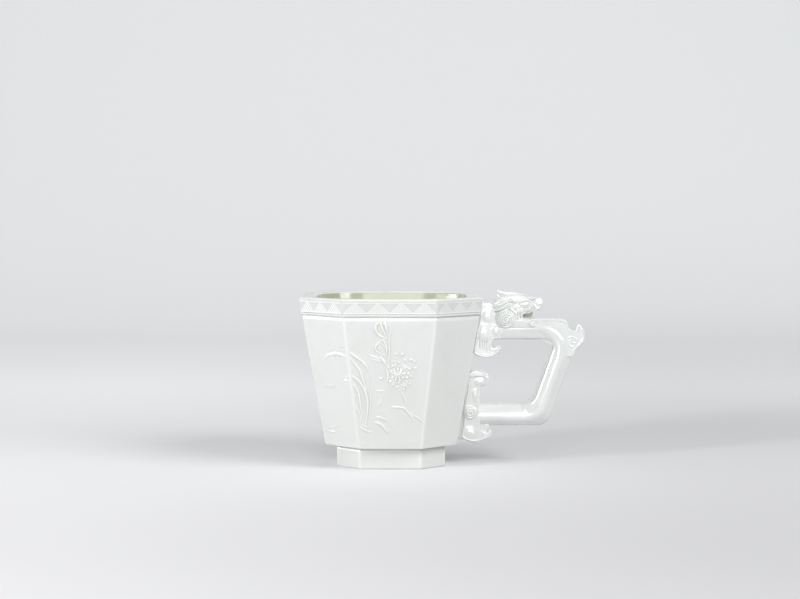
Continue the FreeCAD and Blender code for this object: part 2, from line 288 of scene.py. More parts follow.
# Mouth: left rough and dull, and painted olive grey: painted shade in the deep mouth
MOUTH_PAINTED_SHADE_STONE = Nephrite("nephrite_rough_mouth_painted_shade", Surface.HOLLOWED, "#C8CBBD", "#BEC1B1", "#C8CBBD", 0.45, 0.05,
                       0.0, 1.0, 0.05)


class Stock:
    """A mesh in millimetres that carved forms are added to."""

    def __init__(self) -> None:
        """Start with no stone."""
        self.bm = bmesh.new()

    def take(self, form: BMesh, place: Matrix | None = None) -> None:
        """Add a form, turned into place, and free it.

        Args:
            form: The form, in its own frame.
            place: Where it goes, or None for where it is.
        """
        if place is not None:
            bmesh.ops.transform(form, matrix=place, verts=form.verts)
            if place.determinant() < 0:
                bmesh.ops.reverse_faces(form, faces=form.faces)
        mesh = bpy.data.meshes.new("form")
        form.to_mesh(mesh)
        form.free()
        self.bm.from_mesh(mesh)
        bpy.data.meshes.remove(mesh)

    def loft(self, loops: Sequence[list[BMEdge]]) -> None:
        """Bridge loops of edges, each to the next, and close both ends.

        Args:
            loops: The loops in order, each a closed ring of this mesh.
        """
        for lower, upper in zip(loops, loops[1:]):
            bmesh.ops.bridge_loops(self.bm, edges=lower + upper)
        for end in (loops[0], loops[-1]):
            bmesh.ops.contextual_create(self.bm, geom=end)
        bmesh.ops.recalc_face_normals(self.bm, faces=self.bm.faces)

    def slab(self, corners: Sequence[Corner], low: float, high: float, soften: float = 0.0) -> None:
        """Add an outline of the front view with rounded corners, thickened and softened along its rims.

        Args:
            corners: Points x, z and the distance from each point at which its rounding starts.
            low: Where the slab starts, towards the front.
            high: Where it ends.
            soften: Width of the rounded rims, or zero for sharp ones.
        """
        form = bmesh.new()
        verts = [form.verts.new((x, z, low)) for x, z, _ in corners]
        form.faces.new(verts)
        for vert, (_, _, start) in zip(verts, corners):
            if start:
                bevel(form, [vert], start, 8, "VERTICES")
        made = bmesh.ops.extrude_face_region(form, geom=form.faces[:])
        bmesh.ops.translate(form, vec=(0, 0, high - low), verts=pick(made["geom"], BMVert))
        bmesh.ops.recalc_face_normals(form, faces=form.faces)
        if soften:
            bevel(form, [e for e in form.edges if abs(e.verts[0].co.z - e.verts[1].co.z) < 1e-6], soften, 4)
        self.take(form, FRONT_VIEW)

    def knobs(self, rows: Sequence[tuple[float, ...]]) -> None:
        """Add pairs of ellipsoids, one in front and its mirror image behind.

        Args:
            rows: For each pair, the middle of the one behind, half sizes along X, Y and Z, and the lean
                about Y in degrees.
        """
        for side in (-1, 1):
            for x, y, z, wide, deep, tall, lean in rows:
                form = bmesh.new()
                bmesh.ops.create_icosphere(form, subdivisions=4, radius=1.0)
                turn = Matrix.Rotation(math.radians(lean), 4, "Y")
                size = Matrix.Diagonal((wide, deep, tall, 1))
                self.take(form, Matrix.Translation((x, side * y, z)) @ turn @ size)

    def strand(self, beads: Sequence[Bead], place: Matrix | None = None, flat: float = 1.0,
               sides: int = 2, steps: int = 5) -> None:
        """Add a tapering lock of stone along a smooth line.

        Args:
            beads: Points of the line with the lock's half width at each.
            place: The frame of the points.
            flat: Height of the lock's section as a share of its width, along w.
            sides: Bevel resolution of its section.
            steps: Rings between one point and the next.
        """
        curve = bpy.data.curves.new("lock", "CURVE")
        curve.dimensions = "3D"
        curve.bevel_depth = 1.0
        curve.bevel_resolution = sides
        curve.resolution_u = steps
        curve.use_fill_caps = True
        spline = curve.splines.new("NURBS")
        spline.points.add(len(beads) - 1)
        for point, (x, y, z, half) in zip(spline.points, beads):
            point.co = (x, y, z / flat, 1)
            point.radius = half
        spline.order_u = 3
        spline.use_endpoint_u = True
        carrier = bpy.data.objects.new("lock", curve)
        mesh = bpy.data.meshes.new_from_object(carrier)
        form = bmesh.new()
        form.from_mesh(mesh)
        bmesh.ops.remove_doubles(form, verts=form.verts, dist=1e-5)
        bmesh.ops.scale(form, vec=(1, 1, flat), verts=form.verts)
        bmesh.ops.recalc_face_normals(form, faces=form.faces)
        self.take(form, place)
        bpy.data.objects.remove(carrier)
        bpy.data.curves.remove(curve)
        bpy.data.meshes.remove(mesh)

    def lay(self, lines: Iterable[Line]) -> None:
        """Lay locks on the front skin along lines of the side view, with mirror images behind.

        Args:
            lines: For each, its points x, z and half width, and how far its middle stands out.
        """
        skin = BVHTree.FromBMesh(self.bm)
        for run, proud in lines:
            front = []
            for x, z, half in run:
                hit = skin.ray_cast(Vector((x, -50.0, z)), Vector((0, 1, 0)))[0]
                front.append((x, (0.0 if hit is None else hit.y) - proud, z, half))
            self.strand(front)
            self.strand([(x, -y, z, half) for x, y, z, half in front])

    def fuse(self, grain: float, rubs: int) -> None:
        """Make one skin of all the overlapping forms and rub it smooth, as carved stone is.

        Args:
            grain: Size of the skin's facets.
            rubs: Passes of smoothing.
        """
        carrier = self.lift("fusing")
        remesh = carrier.modifiers.new("skin", "REMESH")
        remesh.mode = "VOXEL"
        remesh.voxel_size = grain
        smooth = carrier.modifiers.new("rub", "SMOOTH")
        smooth.factor = 0.5
        smooth.iterations = rubs
        self.settle(carrier)

    def cut(self, cutter: "Stock") -> None:
        """Take another stock's form out of this one.

        Args:
            cutter: The stock to cut away, which stays as it is.
        """
        carrier = self.lift("cutting")
        tool = cutter.lift("tool")
        boolean = carrier.modifiers.new("cut", "BOOLEAN")
        boolean.operation = "DIFFERENCE"
        boolean.solver = "EXACT"
        boolean.object = tool
        self.settle(carrier)
        bpy.data.objects.remove(tool)

    def lift(self, name: str) -> Object:
        """Put the mesh so far into an object of its own, for modifiers to work on.

        Args:
            name: The object's name.

        Returns:
            The object.
        """
        mesh = bpy.data.meshes.new(name)
        self.bm.to_mesh(mesh)
        return put(name, mesh)

    def settle(self, carrier: Object) -> None:
        """Take the modified mesh back from its object, and remove the object.

        Args:
            carrier: The object that lift made, with its modifiers.
        """
        bpy.context.view_layer.update()
        shaped = carrier.evaluated_get(bpy.context.evaluated_depsgraph_get())
        mesh = bpy.data.meshes.new_from_object(shaped)
        self.bm.free()
        self.bm = bmesh.new()
        self.bm.from_mesh(mesh)
        bpy.data.objects.remove(carrier)
        bpy.data.meshes.remove(mesh)

    def finish(self, name: str, stones: Sequence[Nephrite], slot: str, nodes: Iterable[str],
               crease: float = 40.0) -> Object:
        """Turn the mesh into a finished piece of the object.

        Args:
            name: The piece's name.
            stones: Its finishes, in the order of its material indices.
            slot: Not used.
            nodes: The solids that it stands for.
            crease: Edges sharper than this many degrees stay crisp.

        Returns:
            The piece, at the origin, in metres.
        """
        bmesh.ops.scale(self.bm, vec=(MM, MM, MM), verts=self.bm.verts)
        mesh = bpy.data.meshes.new(name)
        self.bm.to_mesh(mesh)
        self.bm.free()
        mesh.shade_smooth()
        mesh.set_sharp_from_angle(angle=math.radians(crease))
        for stone in stones:
            mesh.materials.append(bpy.data.materials.get(stone.name) or stone.make())
        piece = put(name, mesh)
        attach(piece, "root")
        if nodes:
            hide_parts(*nodes)
        made = ", ".join(stone.surface.value for stone in stones)
        LOG.info("%s: %d faces, %s", name, len(mesh.polygons), made)
        return piece


def reach(half: float, cant: float, turn: int) -> float:
    """Distance of an octagon's side from its middle: of a flat, or at odd turns of a canted corner."""
    return half if turn % 2 == 0 else (2 * half - cant) / math.sqrt(2)


def side_frame(turn: int, low: Point, high: Point) -> Matrix:
    """The frame of one leaning side of an octagonal body, from the middle of its lower edge.

    Args:
        turn: 0 for the front, then anticlockwise seen from above; odd ones are the canted corners.
        low: The lower edge's distance from the axis, and its height.
        high: The same for the upper edge.

    Returns:
        A frame with u along the side, v up it and w out of it.
    """
    up = Vector((0, low[0] - high[0], high[1] - low[1])).normalized()
    out = Vector((1, 0, 0)).cross(up)
    place = Matrix(((1, up.x, out.x, 0), (0, up.y, out.y, -low[0]), (0, up.z, out.z, low[1]), (0, 0, 0, 1)))
    return Matrix.Rotation(math.radians(45 * turn), 4, "Z") @ place


@dataclass
class CupBody:
    """The octagonal body: foot, leaning wall, plain band and the hollow, as one carved block.

    A half is half a width across the flats, and a cant is a leg of a canted corner. In the coves,
    each height has the depth that is cut away there. The lip under the band, with its groove, is
    given as octagons: half, cant and height.
    """

    rim_half: float = 32.0
    rim_cant: float = 15.7
    rim_z: float = 60.0
    rim_edge_z: float = 59.45
    band_half: float = 31.53
    band_cant: float = 15.27
    band_edge_z: float = 54.92
    band_z: float = 54.0
    wall_half: float = 31.1
    wall_cant: float = 15.1
    wall_lean: float = 9.7
    cove_z: float = 52.4
    cove: tuple[Point, ...] = ((52.9, 0.06), (53.35, 0.18), (53.7, 0.34))
    lip: tuple[Corner, ...] = ((30.75, 15.0, 53.85), (30.8, 15.05, 54.0), (31.4, 15.2, 54.1),
                               (31.45, 15.22, 54.55), (31.33, 15.2, 54.66), (31.34, 15.2, 54.8))
    foot_z: float = 7.8
    foot_half: float = 19.1
    foot_cant: float = 8.4
    foot_wall_cant: float = 12.2
    foot_cove: tuple[Point, ...] = ((6.3, 0.0), (6.8, 0.08), (7.05, 0.2), (7.5, 0.2))
    recess_half: float = 13.9
    recess_cant: float = 4.2
    thickness: float = 5.3
    floor_z: float = 13.8
    floor_corner: float = 11.0
    floor_round: float = 5.0
    corner_growth: float = 0.14
    edge_round: float = 0.45
    edge_strip: float = 0.35

    def wall_at(self, z: float) -> float:
        """Half the width of the wall across its flats at a height."""
        return self.wall_half - (self.band_z - z) * math.tan(math.radians(self.wall_lean))

    def cant_at(self, z: float) -> float:
        """Leg of the wall's canted corner at a height."""
        rise = (z - self.foot_z) / (self.band_z - self.foot_z)
        return self.foot_wall_cant + (self.wall_cant - self.foot_wall_cant) * rise

    def ring(self, bm: BMesh, half: float, cant: float, z: float) -> list[BMEdge]:
        """Draw one octagon.

        Args:
            bm: The mesh to draw in.
            half: Half its width across the flats.
            cant: Leg of its canted corners.
            z: Its height.

        Returns:
            Its edges, as a closed loop.
        """
        near = half - cant
        flat = [(near, -half), (half, -near), (half, near), (near, half),
                (-near, half), (-half, near), (-half, -near), (-near, -half)]
        verts = [bm.verts.new((x, y, z)) for x, y in flat]
        return [bm.edges.new((verts[i - 1], verts[i])) for i in range(8)]

    def levels(self) -> list[Corner]:
        """List the octagons of the outside.

        Returns:
            Half, cant and height of each, from the table up.
        """
        foot, cant = self.foot_half, self.foot_cant
        stand = [(foot - 0.35, cant - 0.15, 0.0), (foot, cant, 0.35),
                 *((foot - deep, cant, z) for z, deep in self.foot_cove), (foot + 0.2, cant, self.foot_z)]
        wall = [(self.wall_at(z) - deep, self.cant_at(z), z)
                for z, deep in ((self.foot_z, 0.0), (self.cove_z, 0.0), *self.cove)]
        band = [(self.band_half, self.band_cant, self.band_edge_z),
                (self.rim_half, self.rim_cant, self.rim_edge_z),
                (self.rim_half - 0.2, self.rim_cant - 0.05, self.rim_z - 0.2),
                (self.rim_half - 0.55, self.rim_cant - 0.25, self.rim_z)]
        return [*stand, *wall, *self.lip, *band]

    def outside(self) -> Stock:
        """Shape the body before it is hollowed.

        Returns:
            A solid block, its upright edges lightly rounded.
        """
        block = Stock()
        block.loft([self.ring(block.bm, *level) for level in self.levels()])
        upright = [e for e in block.bm.edges if abs(e.verts[0].co.z - e.verts[1].co.z) > 1e-4]
        bevel(block.bm, upright, self.edge_round, 4)
        return block

    def hollow(self) -> Stock:
        """Shape the cutter for the inside, which opens out over the rim's inner edge.

        Returns:
            A solid with four flat sides, wide round corners and a rounded floor.
        """
        cutter = Stock()
        ground = self.wall_at(self.floor_z) - self.thickness
        mouth = self.rim_half - self.thickness
        lip_z = 59.2
        sections = []
        for step in range(8):
            turn = math.radians(90 - self.wall_lean) * step / 7
            sections.append((ground - self.floor_round * (1 - math.sin(turn)),
                             self.floor_z + self.floor_round * (1 - math.cos(turn))))
        sections += [(ground + (mouth - ground) * share, self.floor_z + (lip_z - self.floor_z) * share)
                     for share in (0.4, 0.7, 1.0)]
        sections += [(mouth + 0.08, 59.5), (mouth + 0.28, 59.8), (mouth + 0.6, 60.0), (mouth + 1.0, 61.0)]
        loops = []
        for half, z in sections:
            verts = [cutter.bm.verts.new((x * half, y * half, z))
                     for x, y in ((1, -1), (1, 1), (-1, 1), (-1, -1))]
            cutter.bm.faces.new(verts)
            corner = min(half - ground + self.floor_corner, self.floor_corner)
            corner += self.corner_growth * max(0.0, z - self.floor_z - self.floor_round)
            bevel(cutter.bm, verts, corner, 10, "VERTICES", clamp=False)
            (face,) = cutter.bm.faces
            loops.append(list(face.edges))
            bmesh.ops.delete(cutter.bm, geom=[face], context="FACES_ONLY")
        cutter.loft(loops)
        return cutter

    def recess(self) -> Stock:
        """Shape the cutter for the shallow hollow under the foot.

        Returns:
            A solid of three octagons, the widest below the table.
        """
        cutter = Stock()
        cutter.loft([self.ring(cutter.bm, self.recess_half + grow, self.recess_cant, z)
                     for z, grow in ((-1.0, 0.9), (0.5, 0.0), (3.0, -0.3))])
        return cutter

    def build(self) -> Object:
        """Cut the body, raise its carving and dress it, outside and inside.

        Returns:
            The piece.
        """
        body = self.outside()
        cutter = self.hollow()
        cutter.take(self.recess().bm)
        body.cut(cutter)
        bmesh.ops.remove_doubles(body.bm, verts=body.bm.verts, dist=1e-4)
        self.sort_faces(body.bm)
        # A narrow strip along each edge keeps the painted highlight on the edges, from pointiness, off the
        # middle of each face
        outer = [f for f in body.bm.faces
                 if f.calc_area() > 30 and f.normal.xy.dot(f.calc_center_median().xy) > 1]
        bmesh.ops.inset_individual(body.bm, faces=outer, thickness=self.edge_strip, use_even_offset=True)
        FaceCarving(self).carve(body)
        return body.finish("cup_body", (CUP_STONE, INSIDE_PAINTED_SHADE_STONE, BAND_STONE), "jade_cup",
                           ("cup_wall", "rim_band", "foot_ring"), crease=32.0)

    def sort_faces(self, bm: BMesh) -> None:
        """Give the inside its darker finish, painted shade, and the band's ground its own finish.

        Args:
            bm: The hollowed body.
        """
        for face in bm.faces:
            x, y, z = face.calc_center_median()
            # What lies nearer to the axis than the middle of the wall belongs to the inside
            out = max(abs(x), abs(y), (abs(x) + abs(y)) / 1.6)
            if self.floor_z - 0.5 < z < 59.6 and out < self.wall_at(z) - self.thickness / 2 - 0.5:
                face.material_index = 1
            elif self.band_edge_z + 0.03 < z < self.rim_edge_z - 0.05:
                face.material_index = 2

    def facet(self, turn: int) -> Matrix:
        """The frame of one face of the wall, counted as in side_frame."""
        low, high = ((reach(self.wall_at(z), self.cant_at(z), turn), z) for z in (self.foot_z, self.band_z))
        return side_frame(turn, low, high)


@dataclass(frozen=True)
class Stroke:
    """One raised touch of the carving: points on a face, half width at its middle and its height."""

    points: tuple[Point, ...]
    half: float
    height: float
    blunt: float = 0.15
    lift: float = 0.0

    def carve(self, stock: Stock) -> None:
        """Add the stroke, which swells to its middle and tapers to its ends.

        Args:
            stock: The relief that it belongs to, in the face's frame.
        """
        last = len(self.points) - 1
        beads = []
        for i, (u, v) in enumerate(self.points):
            swell = math.sin(math.pi * i / last) ** 0.6 if 0 < i < last else 0.0
            beads.append((u, v, self.lift, self.half * (self.blunt + (1 - self.blunt) * swell)))
        stock.strand(beads, flat=self.height / self.half, sides=1, steps=4)


def touch(half: float, height: float, blunt: float, *points: Point) -> Stroke:
    """A stroke from its half width, its height, its bluntness and its points."""
    return Stroke(points, half, height, blunt)


def blossom(middle: Point, radius: float, petals: int, turn: float) -> list[Stroke]:
    """A flower seen from the front: two rings of petals round a button.

    Args:
        middle: Its centre.
        radius: Its reach.
        petals: Petals in the outer ring.
        turn: Turn of the first petal in degrees.

    Returns:
        The strokes that make it.
    """
    strokes = []
    rings = ((0.5, 1.0, petals, 0.13, 0.34, 0.0), (0.16, 0.56, petals - 2, 0.12, 0.28, 0.10))
    for ring, (near, far, count, half, height, lift) in enumerate(rings):
        for i in range(count):
            angle = math.radians(turn + 360 * (i + ring / 2) / count)
            points = tuple((middle[0] + math.cos(angle) * radius * s, middle[1] + math.sin(angle) * radius * s)
                           for s in (near, (near + far) * 0.45, (near + far) * 0.62, far))
            strokes.append(Stroke(points, radius * half, height, 0.45, lift))
    dot = radius * 0.16
    button = ((middle[0] - dot, middle[1]), middle, (middle[0] + dot, middle[1]))
    strokes.append(Stroke(button, dot, 0.2, 0.6, 0.34))
    return strokes


@dataclass
class FaceCarving:
    """Low relief of flowers, orchid grass and rocks on the broad face and the corner beside it.

    Places are in millimetres from the middle of the face's lower edge.
    """

    cup: CupBody
    boldness: float = 1.3
    front_cuts: int = 160
    corner_cuts: int = 110
    panel_area: float = 150.0
    # The strokes are painted whiter by their height: a painted highlight on the raised carving
    painted_highlight_full_height: float = 0.4
    painted_highlight_most: float = 0.75

    def grass(self) -> list[Stroke]:
        """Cut the orchid grass at the left of the broad face.

        Returns:
            One stroke for each blade.
        """
        return [
            touch(0.42, 0.36, 0.4, (-15.6, 35.0), (-14.4, 34.9), (-12.9, 33.9), (-11.1, 32.6), (-9.2, 31.0),
                  (-7.9, 29.6), (-6.7, 27.2)),
            touch(0.4, 0.34, 0.4, (-13.6, 32.6), (-13.1, 32.1), (-11.7, 30.2), (-10.2, 28.3), (-9.3, 25.6),
                  (-8.5, 22.4), (-8.2, 19.5)),
            touch(0.4, 0.34, 0.4, (-14.2, 26.4), (-13.6, 26.3), (-12.1, 25.6), (-10.5, 24.3), (-9.3, 22.4),
                  (-8.3, 20.1), (-7.7, 17.9), (-7.6, 14.3), (-8.2, 10.1), (-8.8, 6.1)),
            touch(0.36, 0.3, 0.3, (-14.0, 24.4), (-13.4, 24.1), (-12.1, 22.8), (-11.1, 21.2), (-10.4, 18.8),
                  (-10.0, 14.9), (-9.7, 11.0)),
            touch(0.28, 0.24, 0.3, (-13.1, 17.9), (-11.5, 14.6), (-10.3, 12.7), (-9.7, 10.0)),
            touch(0.24, 0.22, 0.3, (-6.0, 26.0), (-6.4, 20.0), (-7.0, 14.0), (-7.6, 8.0)),
        ]

    def stem(self) -> list[Stroke]:
        """Cut the bud at the top of the broad face, the stem under it and its leaves.

        Returns:
            The strokes, from the top down.
        """
        return [
            touch(0.24, 0.5, 0.6, (-3.1, 45.2), (-4.4, 44.4), (-4.9, 42.9), (-4.2, 41.0), (-2.8, 40.0),
                  (-1.0, 39.1)),
            touch(0.24, 0.52, 0.6, (-3.2, 44.8), (-2.6, 43.3), (-1.7, 41.0), (-0.9, 39.1)),
            touch(0.36, 0.46, 0.5, (-2.8, 45.2), (-1.7, 44.9), (-1.2, 43.6), (-0.7, 41.7)),
            touch(0.55, 0.2, 0.3, (-3.8, 43.6), (-3.5, 42.2), (-2.6, 40.8)),
            touch(0.24, 0.34, 0.6, (0.4, 44.5), (0.2, 41.4), (-0.2, 38.5), (-0.1, 35.0), (-0.2, 32.1),
                  (-0.6, 29.2)),
            touch(0.28, 0.46, 0.5, (-2.3, 39.1), (-1.3, 37.5), (-0.9, 35.0), (-1.2, 33.6)),
            touch(0.24, 0.4, 0.5, (-2.3, 38.9), (-4.3, 37.8), (-5.0, 35.9), (-4.3, 34.3), (-1.2, 33.4)),
            touch(0.22, 0.34, 0.5, (-4.1, 37.2), (-3.0, 36.2), (-1.7, 35.1)),
            touch(0.22, 0.36, 0.5, (-4.3, 36.2), (-3.1, 35.2), (-1.5, 34.1)),
            touch(0.22, 0.34, 0.5, (-3.6, 38.1), (-2.3, 37.1), (-1.4, 36.2)),
            touch(0.62, 0.4, 0.4, (-3.4, 33.2), (-2.3, 31.8), (-1.6, 30.7), (-0.9, 29.6)),
            touch(0.34, 0.3, 0.4, (-7.0, 33.5), (-5.2, 32.7), (-3.0, 31.9)),
            touch(0.26, 0.26, 0.4, (-6.7, 32.3), (-4.9, 31.6), (-2.7, 31.2)),
            touch(0.3, 0.32, 0.5, (-1.1, 28.9), (-0.6, 27.3), (-0.7, 25.3), (-1.0, 23.7)),
            touch(0.26, 0.3, 0.5, (4.2, 20.4), (4.7, 19.2), (5.2, 17.8), (5.4, 16.3)),
            touch(0.3, 0.3, 0.4, (-4.7, 20.7), (-3.5, 21.0), (-2.2, 20.8)),
            touch(0.3, 0.38, 0.4, (-2.6, 17.9), (-3.4, 16.6), (-4.4, 15.2)),
            touch(0.18, 0.22, 0.5, (-1.2, 23.4), (-1.8, 20.6), (-2.6, 17.9)),
            touch(0.24, 0.3, 0.5, (4.7, 32.4), (5.5, 31.6), (6.5, 30.7)),
            touch(0.24, 0.3, 0.5, (4.5, 29.8), (6.0, 29.2), (7.0, 28.2)),
        ]

    def flowers(self) -> list[Stroke]:
        """Cut a spray of flowers on the broad face.

        Returns:
            Three blossoms, and loose stamens and buds as beads.
        """
        beads = (
            (0.6, 27.6, 0.3), (3.8, 27.3, 0.3), (6.3, 26.9, 0.34), (5.7, 25.4, 0.34), (5.9, 24.2, 0.3),
            (1.5, 27.3, 0.3), (5.3, 28.9, 0.38), (3.2, 29.6, 0.34), (4.8, 21.4, 0.3), (-0.3, 29.0, 0.34),
            (1.0, 29.6, 0.36), (2.1, 30.0, 0.3), (0.8, 31.0, 0.28), (1.8, 31.2, 0.3), (3.0, 30.8, 0.3),
            (4.3, 33.6, 0.44), (2.2, 33.9, 0.38), (5.4, 31.7, 0.34), (7.3, 31.8, 0.42), (8.4, 31.2, 0.34),
            (8.8, 28.9, 0.42), (6.9, 28.6, 0.34), (-2.9, 25.2, 0.44), (-0.6, 25.4, 0.3), (0.2, 24.2, 0.3),
            (2.6, 22.2, 0.34), (3.2, 23.7, 0.3), (7.4, 25.9, 0.28), (6.8, 23.2, 0.3)
        )
        return [*blossom((2.8, 26.6), 2.5, 9, 8), *blossom((5.0, 22.8), 1.3, 5, 40),
                *blossom((1.0, 23.0), 1.2, 5, 15),
                *(touch(size, 0.52, 0.7, (u - size, v), (u, v + 0.1), (u + size, v)) for u, v, size in beads)]

    def rocks(self) -> list[Stroke]:
        """Cut rocks and ground along the foot of the broad face.

        Returns:
            Their contours.
        """
        return [
            touch(0.34, 0.34, 0.4, (0.2, 14.8), (1.2, 15.1), (3.2, 15.0), (5.3, 14.6), (6.3, 13.0),
                  (7.9, 11.4), (8.6, 9.4)),
            touch(0.3, 0.32, 0.4, (7.3, 12.7), (9.1, 11.4), (10.7, 10.7), (12.4, 8.7)),
            touch(0.26, 0.26, 0.4, (3.9, 12.7), (5.4, 12.5), (6.3, 11.1)),
            touch(0.34, 0.34, 0.4, (-5.1, 11.2), (-3.8, 11.6), (-2.0, 10.8), (-0.8, 9.9)),
            touch(0.36, 0.36, 0.4, (-5.5, 9.5), (-3.7, 9.4), (-2.4, 8.3), (-1.2, 6.3), (-0.3, 5.8)),
            touch(0.3, 0.3, 0.4, (-10.5, 7.9), (-9.2, 7.1), (-7.4, 6.1), (-6.3, 6.1)),
            touch(0.22, 0.22, 0.4, (-10.0, 8.6), (-8.8, 8.7), (-7.6, 7.8)),
            touch(0.26, 0.24, 0.4, (-10.7, 2.3), (-9.2, 2.7), (-8.0, 1.5)),
        ]

    def corner(self) -> list[Stroke]:
        """Cut the canted corner to the left of the broad face.

        Returns:
            Its touches: clouds, leaves and ground.
        """
        return [
            touch(0.42, 0.34, 0.3, (-3.0, 30.0), (-1.8, 31.9), (0.8, 33.3), (4.3, 33.8), (7.8, 33.6),
                  (9.6, 33.2)),
            touch(0.26, 0.24, 0.3, (2.0, 35.1), (5.3, 35.5), (9.4, 35.4)),
            touch(0.22, 0.2, 0.3, (2.6, 36.3), (5.7, 36.7), (9.4, 36.6)),
            touch(0.22, 0.2, 0.3, (2.9, 32.0), (4.9, 32.5), (7.4, 32.1)),
            touch(0.3, 0.28, 0.4, (5.6, 25.2), (7.2, 25.8), (10.0, 25.8)),
            touch(0.3, 0.28, 0.4, (4.6, 23.2), (6.4, 24.4), (8.2, 24.6), (10.0, 24.4)),
            touch(0.3, 0.28, 0.4, (-4.8, 21.9), (-1.7, 22.4), (2.0, 22.1)),
            touch(0.26, 0.24, 0.4, (-2.7, 21.0), (-0.3, 21.2), (2.6, 20.8)),
            touch(0.22, 0.2, 0.4, (-2.4, 23.5), (-0.2, 23.3), (1.9, 22.9)),
            touch(0.34, 0.32, 0.4, (-6.4, 5.2), (-3.7, 5.1), (-0.4, 5.5)),
            touch(0.28, 0.26, 0.4, (-5.8, 6.2), (-3.0, 6.6), (-0.4, 7.9)),
            touch(0.28, 0.26, 0.4, (0.5, 5.7), (2.3, 6.5), (3.6, 6.2)),
            touch(0.24, 0.2, 0.4, (-9.0, 15.4), (-6.6, 14.7), (-3.6, 15.2)),
        ]

    def carve(self, body: Stock) -> None:
        """Raise the carving on both broad faces and on the corners beside them.

        Args:
            body: The cup's body, whose flat faces are cut fine and pushed out.
        """
        front = self.grass() + self.stem() + self.flowers() + self.rocks()
        for strokes, turn, cuts in ((front, 0, self.front_cuts), (self.corner(), -1, self.corner_cuts)):
            relief = Stock()
            for stroke in strokes:
                stroke.carve(relief)
            gauge = BVHTree.FromBMesh(relief.bm)
            for place in (self.cup.facet(turn), MIRROR_Y @ self.cup.facet(turn)):
                self.raise_face(body.bm, place, gauge, cuts)
            relief.bm.free()

    def raise_face(self, bm: BMesh, place: Matrix, gauge: BVHTree, cuts: int) -> None:
        """Cut one flat face fine and push it out to the height of the strokes.

        Args:
            bm: The body's mesh.
            place: The face's frame.
            gauge: The strokes, in that frame.
            cuts: Cuts along each edge.
        """
        out = place.to_3x3() @ Vector((0, 0, 1))
        aligned = 0.9999
        panels = [f for f in bm.faces if f.normal.dot(out) > aligned and f.calc_area() > self.panel_area]
        edges = list(dict.fromkeys(e for f in panels for e in f.edges))
        bmesh.ops.subdivide_edges(bm, edges=edges, cuts=cuts, use_grid_fill=True)
        cells = {f for f in bm.faces
                 if f.normal.dot(out) > aligned and f.calc_area() < 1 and len(f.verts) == 4}
        inverse = place.inverted()
        # The raised layer paints each stroke whiter by its height: a painted highlight
        raised = bm.verts.layers.float.get("raised") or bm.verts.layers.float.new("raised")
        inner = [v for v in bm.verts if v.link_faces and all(f in cells for f in v.link_faces)]
        for vert in inner:
            spot = inverse @ vert.co
            hit = gauge.ray_cast(Vector((spot.x, spot.y, 5.0)), Vector((0, 0, -1)))[0]
            height = 0.0 if hit is None else max(0.0, hit.z)
            vert.co += out * height * self.boldness
            vert[raised] = min(1.0, height / self.painted_highlight_full_height) * self.painted_highlight_most
        bmesh.ops.smooth_vert(bm, verts=inner, factor=0.5, use_axis_x=True, use_axis_y=True, use_axis_z=True)


@dataclass
class BandPattern:
    """Diaper of hatched triangles cut round the band.

    The real lines are under 0.2 mm apart. They are drawn coarser here, so that they show.
    """

    cup: CupBody
    low_z: float = 55.1
    high_z: float = 58.7
    triangle: float = 7.9
    spacing: float = 1.05
    half: float = 0.17
    margin: float = 0.5

    def face(self, turn: int) -> tuple[Matrix, float, float]:
        """Find one face of the band.

        Args:
            turn: The face, counted as in side_frame.

        Returns:
            Its frame, half length and height.
        """
        cup = self.cup
        ends = (self.level(self.low_z), self.level(self.high_z))
        low, high = ((reach(half, cant, turn), z) for half, cant, z in ends)
        tall = Vector((0, low[0] - high[0], high[1] - low[1])).length
        long = cup.band_half - cup.band_cant if turn % 2 == 0 else cup.band_cant / math.sqrt(2)
        return side_frame(turn, low, high), long - self.margin, tall

    def level(self, z: float) -> Corner:
        """Find the band's octagon at a height.

        Args:
            z: The height.

        Returns:
            Its half, its cant and the height.
        """
        cup = self.cup
        share = (z - cup.band_edge_z) / (cup.rim_edge_z - cup.band_edge_z)
        return (cup.band_half + (cup.rim_half - cup.band_half) * share,
                cup.band_cant + (cup.rim_cant - cup.band_cant) * share, z)

    def lines(self, long: float, tall: float) -> list[tuple[Point, Point]]:
        """Draw the pattern of one face.

        Args:
            long: Half the face's length.
            tall: Its height.

        Returns:
            Both ends of each line: two borders, and a row of triangles hatched both ways.
        """
        count = max(1, round(2 * long / self.triangle))
        base = 2 * long / count
        lines = [((-long, 0.0), (long, 0.0)), ((-long, tall), (long, tall))]
        for i in range(count):
            left = -long + i * base
            peak = left + base / 2
            lines += [((left, 0.0), (peak, tall)), ((peak, tall), (left + base, 0.0))]
            steps = int(base / self.spacing)
            for s in range(1, steps):
                share = s / steps
                foot = left + base * share
                lines.append(((foot, 0.0), ((foot + left + base) / 2, tall * (1 - share))))
                lines.append(((foot, 0.0), ((foot + left) / 2, tall * share)))
        return lines

    def build(self) -> Object:
        """Cut the pattern on all eight faces.

        Returns:
            The piece.
        """
        pattern = Stock()
        for turn in range(8):
            place, long, tall = self.face(turn)
            for start, end in self.lines(long, tall):
                middle = ((start[0] + end[0]) / 2, (start[1] + end[1]) / 2)
                pattern.strand([(*point, 0, self.half) for point in (start, middle, end)], place, flat=0.4,
                               sides=0, steps=1)
        return pattern.finish("band_pattern", (LINE_STONE,), "jade_cup", (), crease=50.0)


